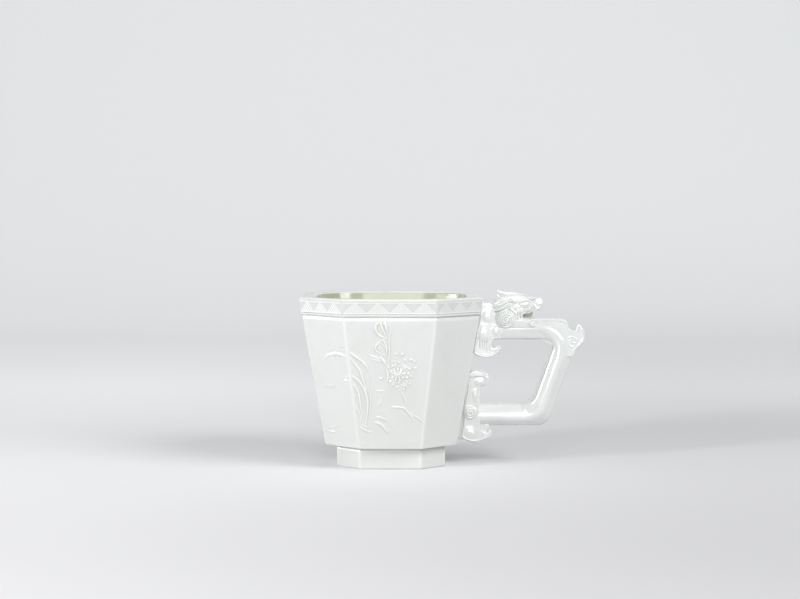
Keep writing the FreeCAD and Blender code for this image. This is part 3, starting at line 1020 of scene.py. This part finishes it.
@dataclass
class HandleLoop:
    """The angular loop: an inner face, a shoulder, a crest and an outer face, front and back.

    Each rail is a long edge of it: its distance out from the finger hole and its depth from the
    middle plane, both on the lower bar, the riser and the upper bar, and its radius at the lower
    and at the upper corner.
    """

    start_x: float = 30.6
    top_start_x: float = 34.0
    lean: float = 19.8
    low: float = 21.2
    high: float = 44.3
    corner_x: float = 58.2
    taper: float = 0.04
    flare: float = 3.4
    steps: int = 14
    rails: tuple[tuple[Corner, Corner, Point], ...] = (
        ((0.0, 0.0, 0.0), (3.2, 3.2, 3.2), (5.7, 3.0)), ((1.0, 0.7, 0.5), (4.0, 4.6, 4.5), (5.8, 3.4)),
        ((4.7, 3.7, 4.9), (5.6, 5.6, 5.6), (6.2, 9.4)), ((7.6, 7.9, 6.0), (3.1, 3.1, 3.1), (5.0, 11.0)))

    def line(self, bm: BMesh, offsets: Corner, depths: Corner, radii: Point) -> list[BMEdge]:
        """One long edge of the loop, from the lower bar round to the upper bar.

        Args:
            bm: The mesh to draw in.
            offsets: Distances out from the finger hole on the lower bar, the riser and the upper bar.
            depths: Where the edge lies from front to back, on the same three.
            radii: The edge's radius at the lower and at the upper corner.

        Returns:
            The edges in order.
        """
        lean = math.radians(self.lean)
        low, high = self.low - offsets[0], self.high + offsets[2]
        turn_x = self.corner_x + offsets[1] / math.cos(lean)
        corners = [(self.start_x, low), (turn_x - math.tan(lean) * (self.high - low), low),
                   (turn_x + math.tan(lean) * (high - self.high), high), (self.top_start_x, high)]
        before = set(bm.edges)
        verts = [bm.verts.new((x, depths[1], z)) for x, z in corners]
        for i in range(3):
            bm.edges.new((verts[i], verts[i + 1]))
        half_turn = (math.pi / 2 - lean) / 2
        starts = (radii[0] * math.tan(half_turn), radii[1] / math.tan(half_turn))
        for vert, start in zip(verts[1:3], starts):
            bevel(bm, [vert], start, self.steps, "VERTICES", clamp=False)
        rail = [e for e in bm.edges if e not in before]
        for vert in {v for e in rail for v in e.verts}:
            bar, away = (0, vert.co.z - low) if vert.co.z < (low + high) / 2 else (2, high - vert.co.z)
            lean_back = ((self.low + self.high) / 2 - vert.co.z) * self.taper * (1 if depths[1] > 0 else -1)
            vert.co.y = depths[bar] + (depths[1] + lean_back - depths[bar]) * min(1.0, away / self.flare)
        return rail

    def build(self) -> Object:
        """Bridge the rails into the loop, round them and dress the loop.

        Returns:
            The piece.
        """
        loop = Stock()
        kind = loop.bm.edges.layers.int.new("rail")
        rails = []
        for side in (-1, 1):
            for number, (offsets, depths, radii) in list(enumerate(self.rails, 1))[::side]:
                rails.append(self.line(loop.bm, offsets, tuple(side * y for y in depths), radii))
                for edge in rails[-1]:
                    edge[kind] = number
        for i, rail in enumerate(rails):
            bmesh.ops.bridge_loops(loop.bm, edges=rails[i - 1] + rail)
        for x in (self.start_x, self.top_start_x):
            ends = [e for e in loop.bm.edges if all(abs(v.co.x - x) < 1e-4 for v in e.verts)]
            bmesh.ops.contextual_create(loop.bm, geom=ends)
        bmesh.ops.recalc_face_normals(loop.bm, faces=loop.bm.faces)
        for number, width, steps in ((3, 1.5, 8), (2, 0.4, 3), (1, 0.5, 3), (4, 0.8, 4)):
            long = [e for e in loop.bm.edges if e[kind] == number and e.calc_face_angle(0.0) > math.radians(5)]
            bevel(loop.bm, long, width, steps)
        return loop.finish("handle_bar", (LOOP_PAINTED_SHADE_STONE,), "jade_handle", ("handle_loop",))


def spiral(middle: Point, radius: float, turns: float, start: float, half: float) -> list[Corner]:
    """A line that winds in to its middle, as points x, z and half width.

    Args:
        middle: Centre in the side view.
        radius: Reach of its outer end.
        turns: How many times it goes round, anticlockwise.
        start: Angle of its outer end in degrees.
        half: Half its width.

    Returns:
        The points, outer end first.
    """
    last = int(turns * 10)
    run = []
    for i in range(last + 1):
        share = i / last
        angle = math.radians(start + 360 * turns * share)
        out = radius * (1 - share) + half * 0.4 * share
        run.append((middle[0] + out * math.cos(angle), middle[1] + out * math.sin(angle),
                    half * (0.55 if i in (0, last) else 1.0)))
    return run


@dataclass
class Brackets:
    """The two scrolls that carry the handle on the wall, hooked at their ends."""

    base_half: float = 4.3
    coarse_grain: float = 0.2
    grain: float = 0.125
    crease: float = 60.0

    def upper(self) -> Object:
        """Carve the scroll under the dragon's neck, with an upturned hook.

        Returns:
            The piece.
        """
        scroll = Stock()
        scroll.slab([(29.6, 57.6, 0.0), (28.2, 40.4, 0.0), (30.4, 39.4, 0.0), (33.4, 57.6, 0.0)],
                    -self.base_half, self.base_half, 0.6)
        scroll.slab([(32.0, 57.6, 0.6), (31.4, 50.0, 3.0), (30.4, 45.0, 3.0), (29.5, 41.0, 1.0),
                     (29.1, 39.2, 0.3), (31.2, 38.2, 1.2), (33.6, 37.8, 1.4), (36.2, 38.4, 1.4),
                     (38.2, 39.8, 1.0), (39.1, 41.2, 0.7), (38.8, 42.2, 0.3), (37.2, 41.8, 0.6),
                     (36.2, 41.0, 0.6), (35.3, 41.9, 0.8), (35.5, 43.8, 0.9), (36.5, 44.6, 0.7),
                     (38.9, 44.7, 0.0), (38.9, 48.2, 0.8), (37.2, 50.4, 1.4), (36.4, 55.0, 1.4),
                     (35.6, 57.4, 0.6)], -4.8, 5.0, 1.0)
        scroll.knobs([(34.5, 4.5, 52.7, 2.7, 0.9, 2.7, 0), (33.3, 4.6, 46.8, 3.5, 1.0, 3.2, 0),
                      (37.6, 4.7, 47.5, 2.2, 0.9, 2.1, 0)])
        scroll.fuse(self.coarse_grain, 6)
        rim = [(31.3, 49.6, 0.14), (30.6, 46.0, 0.3), (29.9, 42.4, 0.34), (29.5, 40.0, 0.34),
               (30.4, 39.1, 0.34), (32.4, 38.5, 0.36), (34.6, 38.4, 0.36), (36.6, 39.2, 0.38),
               (38.2, 40.7, 0.34), (38.6, 41.8, 0.2)]
        folds = [[(31.9, 47.0, 0.1), (31.8, 44.4, 0.24), (31.6, 41.4, 0.2)],
                 [(32.7, 46.8, 0.1), (32.8, 44.0, 0.26), (32.6, 41.0, 0.16)],
                 [(33.5, 45.8, 0.08), (33.5, 43.4, 0.2), (33.3, 40.6, 0.14)],
                 [(34.3, 45.6, 0.08), (34.3, 43.2, 0.2), (34.0, 40.4, 0.14)],
                 [(35.3, 44.8, 0.08), (35.0, 43.0, 0.18), (35.0, 41.4, 0.14), (35.8, 40.4, 0.16),
                  (37.2, 40.9, 0.1)]]
        scroll.lay([(rim, 0.2), *((fold, 0.05) for fold in folds)])
        scroll.fuse(self.grain, 1)
        return scroll.finish("upper_scroll", (SCROLL_PAINTED_LIGHT_STONE,), "jade_handle", ("upper_bracket",), self.crease)

    def lower(self) -> Object:
        """Carve the scroll at the lower bar, hooked at both ends, with a spiral boss.

        Returns:
            The piece.
        """
        scroll = Stock()
        scroll.slab([(26.0, 32.0, 0.6), (22.6, 10.6, 0.0), (24.0, 8.6, 0.8), (30.6, 8.6, 0.0),
                     (30.6, 32.0, 0.0)], -self.base_half, self.base_half, 0.6)
        scroll.slab([(27.4, 31.4, 0.7), (28.2, 33.0, 0.8), (31.6, 33.2, 1.4), (34.4, 32.0, 0.9),
                     (34.9, 30.6, 0.8), (34.0, 28.8, 0.6), (32.4, 28.4, 0.6), (31.4, 26.8, 1.4),
                     (31.5, 13.4, 1.0), (31.9, 11.2, 0.9), (33.4, 10.7, 0.8), (34.5, 11.7, 0.5),
                     (35.0, 12.9, 0.3), (35.9, 11.4, 0.8), (35.2, 9.5, 1.0), (32.6, 8.1, 1.4),
                     (29.4, 7.7, 1.6), (26.8, 8.1, 1.4), (25.0, 9.4, 0.6), (25.5, 12.0, 1.4),
                     (26.1, 15.0, 1.6), (25.9, 19.0, 1.4), (26.4, 25.0, 2.0)], -5.1, 5.1, 1.1)
        scroll.slab([(31.0, 14.4, 0.0), (31.0, 10.0, 0.0), (35.0, 10.0, 0.0), (34.9, 14.0, 0.0)], -3.4, 3.4)
        scroll.knobs([(28.2, 4.6, 18.4, 2.5, 1.5, 2.5, 0), (29.3, 4.7, 10.5, 4.2, 0.85, 2.9, 35),
                      (32.0, 4.7, 29.3, 3.0, 0.75, 1.7, -8), (30.0, 4.4, 24.4, 1.6, 1.0, 3.6, 0)])
        scroll.fuse(self.coarse_grain, 5)
        cap = [(28.2, 31.2, 0.2), (29.8, 31.7, 0.34), (31.8, 31.7, 0.34), (33.6, 31.2, 0.34),
               (34.5, 30.4, 0.2)]
        edge = [(28.0, 30.0, 0.1), (27.5, 27.0, 0.3), (27.0, 23.4, 0.26), (26.8, 21.6, 0.1)]
        hook = [(31.8, 12.8, 0.12), (32.0, 11.4, 0.26), (33.3, 10.9, 0.3), (34.3, 11.6, 0.28),
                (34.9, 12.6, 0.16)]
        base = [(25.4, 9.7, 0.2), (27.0, 8.7, 0.34), (29.4, 8.3, 0.36), (32.0, 8.7, 0.34), (34.2, 9.7, 0.26)]
        boss = spiral((28.2, 18.4), 2.15, 2.0, 215, 0.30)
        scroll.lay([(run, 0.08) for run in (cap, edge, hook, base, boss)])
        scroll.fuse(self.grain, 1)
        return scroll.finish("lower_scroll", (HANDLE_STONE,), "jade_handle",
                             ("lower_bracket", "bracket_bosses"), self.crease)


@dataclass
class ThumbPlate:
    """The thin plate on the loop's upper corner, and the curl that ends it."""

    half: float = 4.0
    sunk: float = 0.05
    grain: float = 0.125
    rubs: int = 2

    def build(self) -> Object:
        """Cut the plate, round it and lay the square spiral on both sides.

        Returns:
            The piece.
        """
        plate = Stock()
        plate.slab([(46.0, 47.0, 0.0), (46.0, 51.6, 0.0), (61.4, 51.6, 1.0), (62.6, 50.4, 0.8),
                    (63.1, 48.2, 0.7), (64.2, 47.3, 0.6), (65.6, 47.5, 0.6), (66.0, 49.4, 0.4),
                    (66.6, 49.9, 0.3), (68.3, 48.2, 1.0), (68.9, 45.2, 1.4), (68.0, 42.8, 1.4),
                    (65.6, 41.0, 0.8), (64.6, 38.4, 1.0), (60.0, 38.0, 0.0), (58.0, 42.0, 0.0)],
                   -self.half, self.half, 0.4)
        lines = [[(62.6, 44.2, 0.14), (62.7, 45.2, 0.22), (65.6, 45.4, 0.26), (66.1, 43.6, 0.24)],
                 [(65.2, 44.3, 0.14), (63.3, 44.5, 0.24), (63.1, 43.0, 0.24), (63.4, 42.0, 0.28),
                  (64.3, 41.5, 0.26), (65.4, 42.3, 0.24), (65.2, 43.2, 0.2), (64.5, 43.2, 0.42)],
                 [(54.0, 51.3, 0.2), (61.0, 51.3, 0.24), (62.3, 50.3, 0.24), (62.8, 48.2, 0.24),
                  (64.1, 47.0, 0.24), (65.7, 47.2, 0.2), (66.3, 48.6, 0.3), (66.6, 49.3, 0.34)],
                 [(67.6, 48.2, 0.2), (68.3, 45.4, 0.26), (67.5, 43.0, 0.26), (65.4, 41.4, 0.24),
                  (64.6, 40.2, 0.1)]]
        for run in lines:
            for side in (-1, 1):
                plate.strand([(x, side * (self.half - self.sunk), z, half) for x, z, half in run])
        plate.fuse(self.grain, self.rubs)
        return plate.finish("thumb_plate", (LOOP_PAINTED_SHADE_STONE,), "jade_handle", ("thumb_curl", "curl_eyes"),
                            crease=60.0)


@dataclass
class DragonHead:
    """The dragon's head that looks out along the handle, carved on both sides."""

    coarse_grain: float = 0.2
    grain: float = 0.13
    width_scale: float = 1.15
    relief_scale: float = 1.2
    mouth_shade_x: Point = (46.6, 50.9)
    mouth_shade_z: Point = (51.9, 54.5)
    mouth_shade_half: float = 1.9

    def mass(self) -> Stock:
        """Join the main masses of the head: skull, snout, lower jaw, cheeks and brows.

        Returns:
            The head before its carving.
        """
        head = Stock()
        head.slab([(36.4, 48.0, 0.0), (34.6, 50.4, 1.0), (34.0, 54.0, 1.0), (34.8, 57.0, 1.4),
                   (38.4, 58.8, 1.6), (42.0, 60.2, 2.0), (46.6, 60.4, 2.0), (49.6, 58.6, 1.0),
                   (50.0, 54.8, 1.0), (46.8, 53.4, 0.6), (46.4, 48.0, 0.0)], -4.2, 4.2, 1.4)
        head.slab([(45.0, 57.6, 0.0), (48.0, 58.8, 1.0), (50.6, 57.9, 0.9), (51.8, 59.3, 0.8),
                   (53.6, 59.2, 0.9), (54.1, 56.6, 0.8), (52.6, 54.7, 0.7), (50.4, 54.6, 0.6),
                   (49.2, 53.6, 0.6), (45.6, 53.4, 0.0)], -2.7, 2.7, 0.9)
        head.slab([(44.6, 48.0, 0.0), (44.6, 52.2, 0.0), (47.4, 51.9, 0.8), (49.6, 51.5, 0.6),
                   (51.6, 51.7, 0.5), (52.6, 50.0, 0.8), (52.3, 48.0, 0.0)], -2.9, 2.9, 0.6)
        head.slab([(37.4, 48.3, 0.8), (37.4, 51.4, 1.0), (46.8, 51.9, 0.8), (49.4, 51.3, 0.6),
                   (50.4, 50.4, 0.4), (51.9, 49.5, 0.5), (51.2, 48.7, 0.5)], -5.5, 5.5, 0.5)
        head.slab([(46.0, 50.0, 0.0), (46.0, 54.4, 0.0), (50.4, 54.8, 0.0), (50.4, 50.0, 0.0)], -0.4, 0.4)
        head.knobs([(40.4, 2.8, 56.0, 5.0, 1.8, 3.2, 0), (40.6, 4.3, 51.4, 3.8, 2.0, 3.7, 0),
                    (46.6, 2.9, 57.9, 2.7, 1.7, 1.5, 12), (45.2, 3.1, 54.6, 2.4, 1.7, 2.0, 0),
                    (50.2, 1.9, 56.4, 2.4, 1.1, 1.6, 0), (52.7, 1.7, 58.1, 1.1, 1.0, 1.1, 0),
                    (51.9, 2.2, 55.4, 1.0, 0.9, 0.9, 0), (47.4, 4.0, 56.9, 1.2, 1.0, 1.0, 0),
                    (51.0, 2.6, 51.3, 0.6, 0.7, 0.6, 0)])
        head.fuse(self.coarse_grain, 2)
        return head

    def face_lines(self) -> list[Line]:
        """Draw the face in lines that are laid on the skin.

        Returns:
            Cheek, brow, eye, lips, nostril and beard.
        """
        return [
            (spiral((40.7, 51.4), 3.3, 4.0, 300, 0.18), 0.06),
            ([(40.0, 50.2, 0.2), (40.9, 50.5, 0.46), (41.1, 51.6, 0.2)], 0.2),
            ([(42.2, 55.5, 0.2), (43.0, 54.9, 0.42), (43.9, 54.0, 0.46), (44.5, 53.2, 0.4),
              (44.4, 51.8, 0.2)], 0.2),
            ([(45.7, 57.5, 0.15), (46.6, 58.2, 0.38), (47.6, 58.6, 0.4), (48.8, 58.4, 0.3),
              (49.4, 57.6, 0.12)], 0.25),
            ([(46.0, 56.2, 0.12), (47.0, 55.8, 0.22), (48.4, 56.1, 0.22), (49.2, 56.9, 0.1)], 0.1),
            ([(45.6, 56.9, 0.1), (46.2, 56.8, 0.3), (46.8, 56.6, 0.1)], 0.1),
            ([(45.8, 54.4, 0.15), (46.6, 53.8, 0.24), (47.0, 53.2, 0.1)], 0.15),
            ([(46.9, 53.7, 0.15), (46.3, 53.1, 0.34), (46.2, 52.4, 0.34), (46.8, 51.9, 0.15)], 0.2),
            ([(45.2, 54.2, 0.12), (45.1, 53.0, 0.24), (45.4, 51.8, 0.12)], 0.1),
            ([(47.0, 53.7, 0.2), (48.2, 53.8, 0.3), (49.2, 53.9, 0.32), (50.0, 54.7, 0.3), (51.2, 54.9, 0.3),
              (52.2, 55.2, 0.34), (52.8, 56.0, 0.15)], 0.15),
            ([(51.0, 56.6, 0.15), (51.5, 55.8, 0.34), (52.2, 55.1, 0.34)], 0.15),
            ([(51.6, 58.8, 0.1), (51.6, 57.8, 0.22), (52.1, 57.0, 0.3), (53.2, 57.0, 0.36),
              (53.8, 57.8, 0.26), (53.7, 58.8, 0.2), (52.9, 59.3, 0.15)], 0.15),
            ([(46.9, 51.9, 0.2), (48.2, 51.7, 0.3), (49.5, 51.3, 0.3), (50.3, 50.4, 0.3),
              (50.9, 49.6, 0.12)], 0.2),
            ([(49.2, 49.6, 0.1), (50.2, 49.2, 0.2), (51.0, 49.2, 0.1)], 0.15),
            ([(48.4, 50.4, 0.1), (49.4, 50.0, 0.2), (50.2, 49.8, 0.1)], 0.15),
        ]

    def mane(self) -> list[Line]:
        """Draw the mane, whose locks run from the cheek back to the neck, tips turned up.

        Returns:
            One line for each lock.
        """
        return [
            ([(41.2, 58.1, 0.25), (40.0, 57.4, 0.4), (38.4, 56.7, 0.46), (36.8, 56.3, 0.48),
              (35.4, 56.5, 0.4), (34.2, 57.3, 0.15)], 0.35),
            ([(41.6, 57.1, 0.2), (40.0, 56.2, 0.3), (38.2, 55.6, 0.34), (36.4, 55.6, 0.34),
              (34.9, 55.9, 0.15)], 0.15),
            ([(41.0, 56.1, 0.2), (39.4, 55.6, 0.4), (37.4, 54.8, 0.46), (35.8, 54.7, 0.44),
              (34.2, 55.2, 0.15)], 0.35),
            ([(41.2, 55.0, 0.2), (39.8, 54.6, 0.36), (38.4, 53.9, 0.42), (37.2, 53.1, 0.38),
              (36.6, 52.2, 0.15)], 0.35),
            ([(40.8, 54.0, 0.15), (39.4, 53.4, 0.26), (38.2, 52.6, 0.26), (37.4, 51.6, 0.12)], 0.15),
            ([(42.4, 58.9, 0.3), (41.0, 58.7, 0.45), (39.6, 58.9, 0.45), (38.6, 59.4, 0.38),
              (37.6, 60.3, 0.12)], 0.25),
            ([(43.4, 59.4, 0.3), (42.4, 59.3, 0.42), (41.6, 59.5, 0.4), (41.0, 60.4, 0.12)], 0.3),
            ([(42.8, 58.2, 0.2), (41.6, 57.9, 0.3), (40.2, 58.0, 0.3), (38.6, 58.0, 0.25),
              (37.2, 58.4, 0.1)], 0.15),
            ([(37.0, 54.0, 0.2), (36.6, 52.0, 0.34), (36.6, 50.0, 0.34), (37.0, 48.4, 0.2)], 0.1),
        ]

    def build(self) -> Object:
        """Mass, carve and rub the head, then dress it.

        Returns:
            The piece.
        """
        head = self.mass()
        head.lay([([(x, z, half * self.width_scale) for x, z, half in run], proud * self.relief_scale)
                  for run, proud in self.face_lines() + self.mane()])
        for y in (-1, 1):
            horn = [(46.6, y * 2.4, 59.8, 0.7), (43.6, y * 2.2, 60.6, 0.65), (40.8, y * 2.0, 60.6, 0.5),
                    (38.6, y * 2.0, 61.2, 0.36), (37.6, y * 2.0, 61.8, 0.12)]
            ear = [(44.2, y * 4.2, 57.6, 0.5), (43.0, y * 4.7, 58.8, 0.75), (42.0, y * 4.6, 60.0, 0.2)]
            head.strand(horn, sides=3)
            head.strand(ear, sides=3)
        head.knobs([(47.7, 4.75, 57.0, 0.8, 0.5, 0.65, 15), (53.0, 2.7, 57.4, 0.5, 0.5, 0.4, 0)])
        snout = [(46.0, 0, 60.2, 0.5), (49.4, 0, 59.0, 0.55), (51.2, 0, 58.6, 0.5), (53.0, 0, 59.2, 0.3)]
        head.strand(snout, sides=3)
        head.fuse(self.grain, 1)
        # Faces deep in the mouth take the olive grey finish: painted shade
        for face in head.bm.faces:
            x, y, z = face.calc_center_median()
            inside = self.mouth_shade_x[0] < x < self.mouth_shade_x[1] and self.mouth_shade_z[0] < z < self.mouth_shade_z[1]
            if inside and abs(y) < self.mouth_shade_half:
                face.material_index = 1
        return head.finish("dragon_carving", (HANDLE_STONE, MOUTH_PAINTED_SHADE_STONE), "jade_handle",
                           ("dragon_head", "dragon_jaw", "dragon_horns", "dragon_mane", "dragon_eyes",
                            "dragon_brows", "cheek_spirals"), crease=70.0)


@dataclass(frozen=True)
class Lamp:
    """A soft lamp aimed at the cup. One that only the gloss sees is a reflector card."""

    name: str
    watts: float
    wide: float
    tall: float
    azimuth: float
    elevation: float
    gloss_only: bool = False
    distance: float = 0.85
    aim_z: float = 0.03

    def build(self) -> None:
        """Hang the lamp."""
        lamp = bpy.data.lights.new(self.name, "AREA")
        lamp.shape = "RECTANGLE"
        lamp.size = self.wide
        lamp.size_y = self.tall
        lamp.energy = self.watts
        turn, rise = math.radians(self.azimuth), math.radians(self.elevation)
        way = Vector((math.cos(turn) * math.cos(rise), math.sin(turn) * math.cos(rise), math.sin(rise)))
        obj = put(self.name, lamp)
        obj.location = way * self.distance + Vector((0, 0, self.aim_z))
        obj.rotation_euler = way.to_track_quat("Z", "Y").to_euler()
        obj.visible_diffuse = not self.gloss_only


@dataclass
class Studio:
    """Pale floor that sweeps up behind the cup, soft lamps and an even sky.

    Each lift is a rise of the paper's brightness, between two distances behind the cup.
    """

    floor: str = "#F6F6F8"
    right_floor_painted_shade: str = "#D6D6D8"
    wall: str = "#EDEFF0"
    sky: str = "#FBFBFC"
    sky_strength: float = 0.38
    bounce: float = 0.65
    floor_lift: float = 0.01
    lifts: tuple[Corner, ...] = ((-0.2, 0.02, 0.15), (0.06, 0.3, 0.17), (0.3, 1.0, 0.06))
    lamps: tuple[Lamp, ...] = (
        Lamp("key", 3.05, 0.14, 0.14, 217.0, 15.0), Lamp("front", 1.75, 0.27, 0.56, 268.0, 17.0),
        Lamp("side", 3.4, 0.4, 0.4, 325.0, 34.0), Lamp("card", 6.2, 0.83, 0.3, 184.0, 11.5, gloss_only=True))
    half_width: float = 2.5
    near_y: float = -1.6
    bend_y: float = 0.6
    bend_radius: float = 0.7
    lens: float = 80.57
    eye: Corner = (0.01318, -0.63904, 0.09154)
    pitch: float = 87.027
    yaw: float = 0.91

    def sweep(self) -> None:
        """The floor and the wall behind as one curved sheet."""
        sheet = bmesh.new()
        start = [sheet.verts.new((x, self.near_y, 0)) for x in (-self.half_width, self.half_width)]
        made = bmesh.ops.extrude_edge_only(sheet, edges=[sheet.edges.new(start)])
        top = pick(made["geom"], BMVert)
        bmesh.ops.translate(sheet, vec=(0, self.bend_y - self.near_y, 0), verts=top)
        bend = bmesh.ops.spin(sheet, geom=pick(made["geom"], BMEdge) + top, axis=(1, 0, 0),
                              cent=(0, self.bend_y, self.bend_radius), angle=math.radians(80), steps=24,
                              use_duplicate=False)
        made = bmesh.ops.extrude_edge_only(sheet, edges=pick(bend["geom_last"], BMEdge))
        bmesh.ops.translate(sheet, vec=(0, 0.3, 2.2), verts=pick(made["geom"], BMVert))
        bmesh.ops.recalc_face_normals(sheet, faces=sheet.faces)
        mesh = bpy.data.meshes.new("studio_sweep")
        sheet.to_mesh(mesh)
        sheet.free()
        mesh.shade_smooth()
        mesh.materials.append(self.paper())
        obj = put("studio_sweep", mesh)

    def paper(self) -> Material:
        """Make matt white studio paper, painted a little darker to the right and as it rises behind: painted
        shade where less lamp light falls.

        The eye sees it brighter than it lights the cup, so the white puts no extra light on the stone.

        Returns:
            The material.
        """
        material, tree = empty_material("studio_paper_matt")
        place = add_node(tree, "ShaderNodeSeparateXYZ", inputs={
            0: add_node(tree, "ShaderNodeTexCoord").outputs["Object"]})
        back = add_node(tree, "ShaderNodeMapRange", SMOOTH, {
            "Value": place.outputs["Y"], "From Min": 0.1, "From Max": 1.0})
        # Darker to the right: painted shade for the falloff of the lamp light
        across = add_node(tree, "ShaderNodeMapRange", SMOOTH, {
            "Value": place.outputs["X"], "From Min": -0.16, "From Max": 0.16})
        near = add_node(tree, "ShaderNodeMix", COLOURS, {
            0: across.outputs[0], 6: linear(self.floor), 7: linear(self.right_floor_painted_shade)})
        colour = add_node(tree, "ShaderNodeMix", COLOURS, {
            0: back.outputs[0], 6: near.outputs[2], 7: linear(self.wall)})
        path = add_node(tree, "ShaderNodeLightPath")
        mirrored = add_node(tree, "ShaderNodeMath", {"operation": "MAXIMUM"}, {
            0: path.outputs["Is Camera Ray"], 1: path.outputs["Is Glossy Ray"]})
        seen = add_node(tree, "ShaderNodeMath", {"operation": "MAXIMUM"}, {
            0: mirrored.outputs[0], 1: path.outputs["Is Transmission Ray"]})
        dull = add_node(tree, "ShaderNodeVectorMath", {"operation": "SCALE"}, {
            0: colour.outputs[2], "Scale": self.bounce})
        shown = add_node(tree, "ShaderNodeMix", COLOURS, {
            0: seen.outputs[0], 6: dull.outputs[0], 7: colour.outputs[2]})
        matt = add_node(tree, "ShaderNodeBsdfDiffuse", inputs={"Color": shown.outputs[2]})
        # The lifts make the paper glow where it is seen but light nothing: painted light that rises in steps
        # from front to back
        level: NodeSocket | float = self.floor_lift
        for start, end, rise in self.lifts:
            step = add_node(tree, "ShaderNodeMapRange", SMOOTH, {
                "Value": place.outputs["Y"], "From Min": start, "From Max": end, "To Max": rise})
            level = add_node(tree, "ShaderNodeMath", {"operation": "ADD"}, {
                0: step.outputs[0], 1: level}).outputs[0]
        glow = add_node(tree, "ShaderNodeMath", {"operation": "MULTIPLY"}, {0: seen.outputs[0], 1: level})
        lit = add_node(tree, "ShaderNodeEmission", inputs={
            "Color": linear(self.wall), "Strength": glow.outputs[0]})
        both = add_node(tree, "ShaderNodeAddShader", inputs={0: matt.outputs[0], 1: lit.outputs[0]})
        add_node(tree, "ShaderNodeOutputMaterial", inputs={"Surface": both.outputs[0]})
        return material

    def light(self) -> None:
        """Hang the lamps and set an even sky."""
        for lamp in self.lamps:
            lamp.build()
        world = bpy.data.worlds.new("studio_sky")
        world.use_nodes = True
        world.node_tree.nodes.clear()
        glow = add_node(world.node_tree, "ShaderNodeBackground", inputs={
            "Color": linear(self.sky), "Strength": self.sky_strength})
        add_node(world.node_tree, "ShaderNodeOutputWorld", inputs={"Surface": glow.outputs[0]})
        bpy.context.scene.world = world

    def camera(self) -> None:
        """A camera at the photograph's angle."""
        data = bpy.data.cameras.new("camera")
        data.lens = self.lens
        data.sensor_width = 36.0
        data.clip_start = 0.01
        obj = put("camera", data)
        obj.location = self.eye
        obj.rotation_euler = (math.radians(self.pitch), 0.0, math.radians(self.yaw))
        bpy.context.scene.camera = obj

    def build(self) -> None:
        """Set up the studio."""
        self.sweep()
        self.light()
        self.camera()
        bpy.context.scene.view_settings.view_transform = "Standard"


def main() -> None:
    """Build the studio and every piece of the cup, in order."""
    logging.basicConfig(level=logging.INFO, format="%(message)s")
    Studio().build()
    cup = CupBody()
    cup.build()
    BandPattern(cup).build()
    HandleLoop().build()
    scrolls = Brackets()
    scrolls.upper()
    scrolls.lower()
    ThumbPlate().build()
    DragonHead().build()


if __name__ == "__main__":
    main()
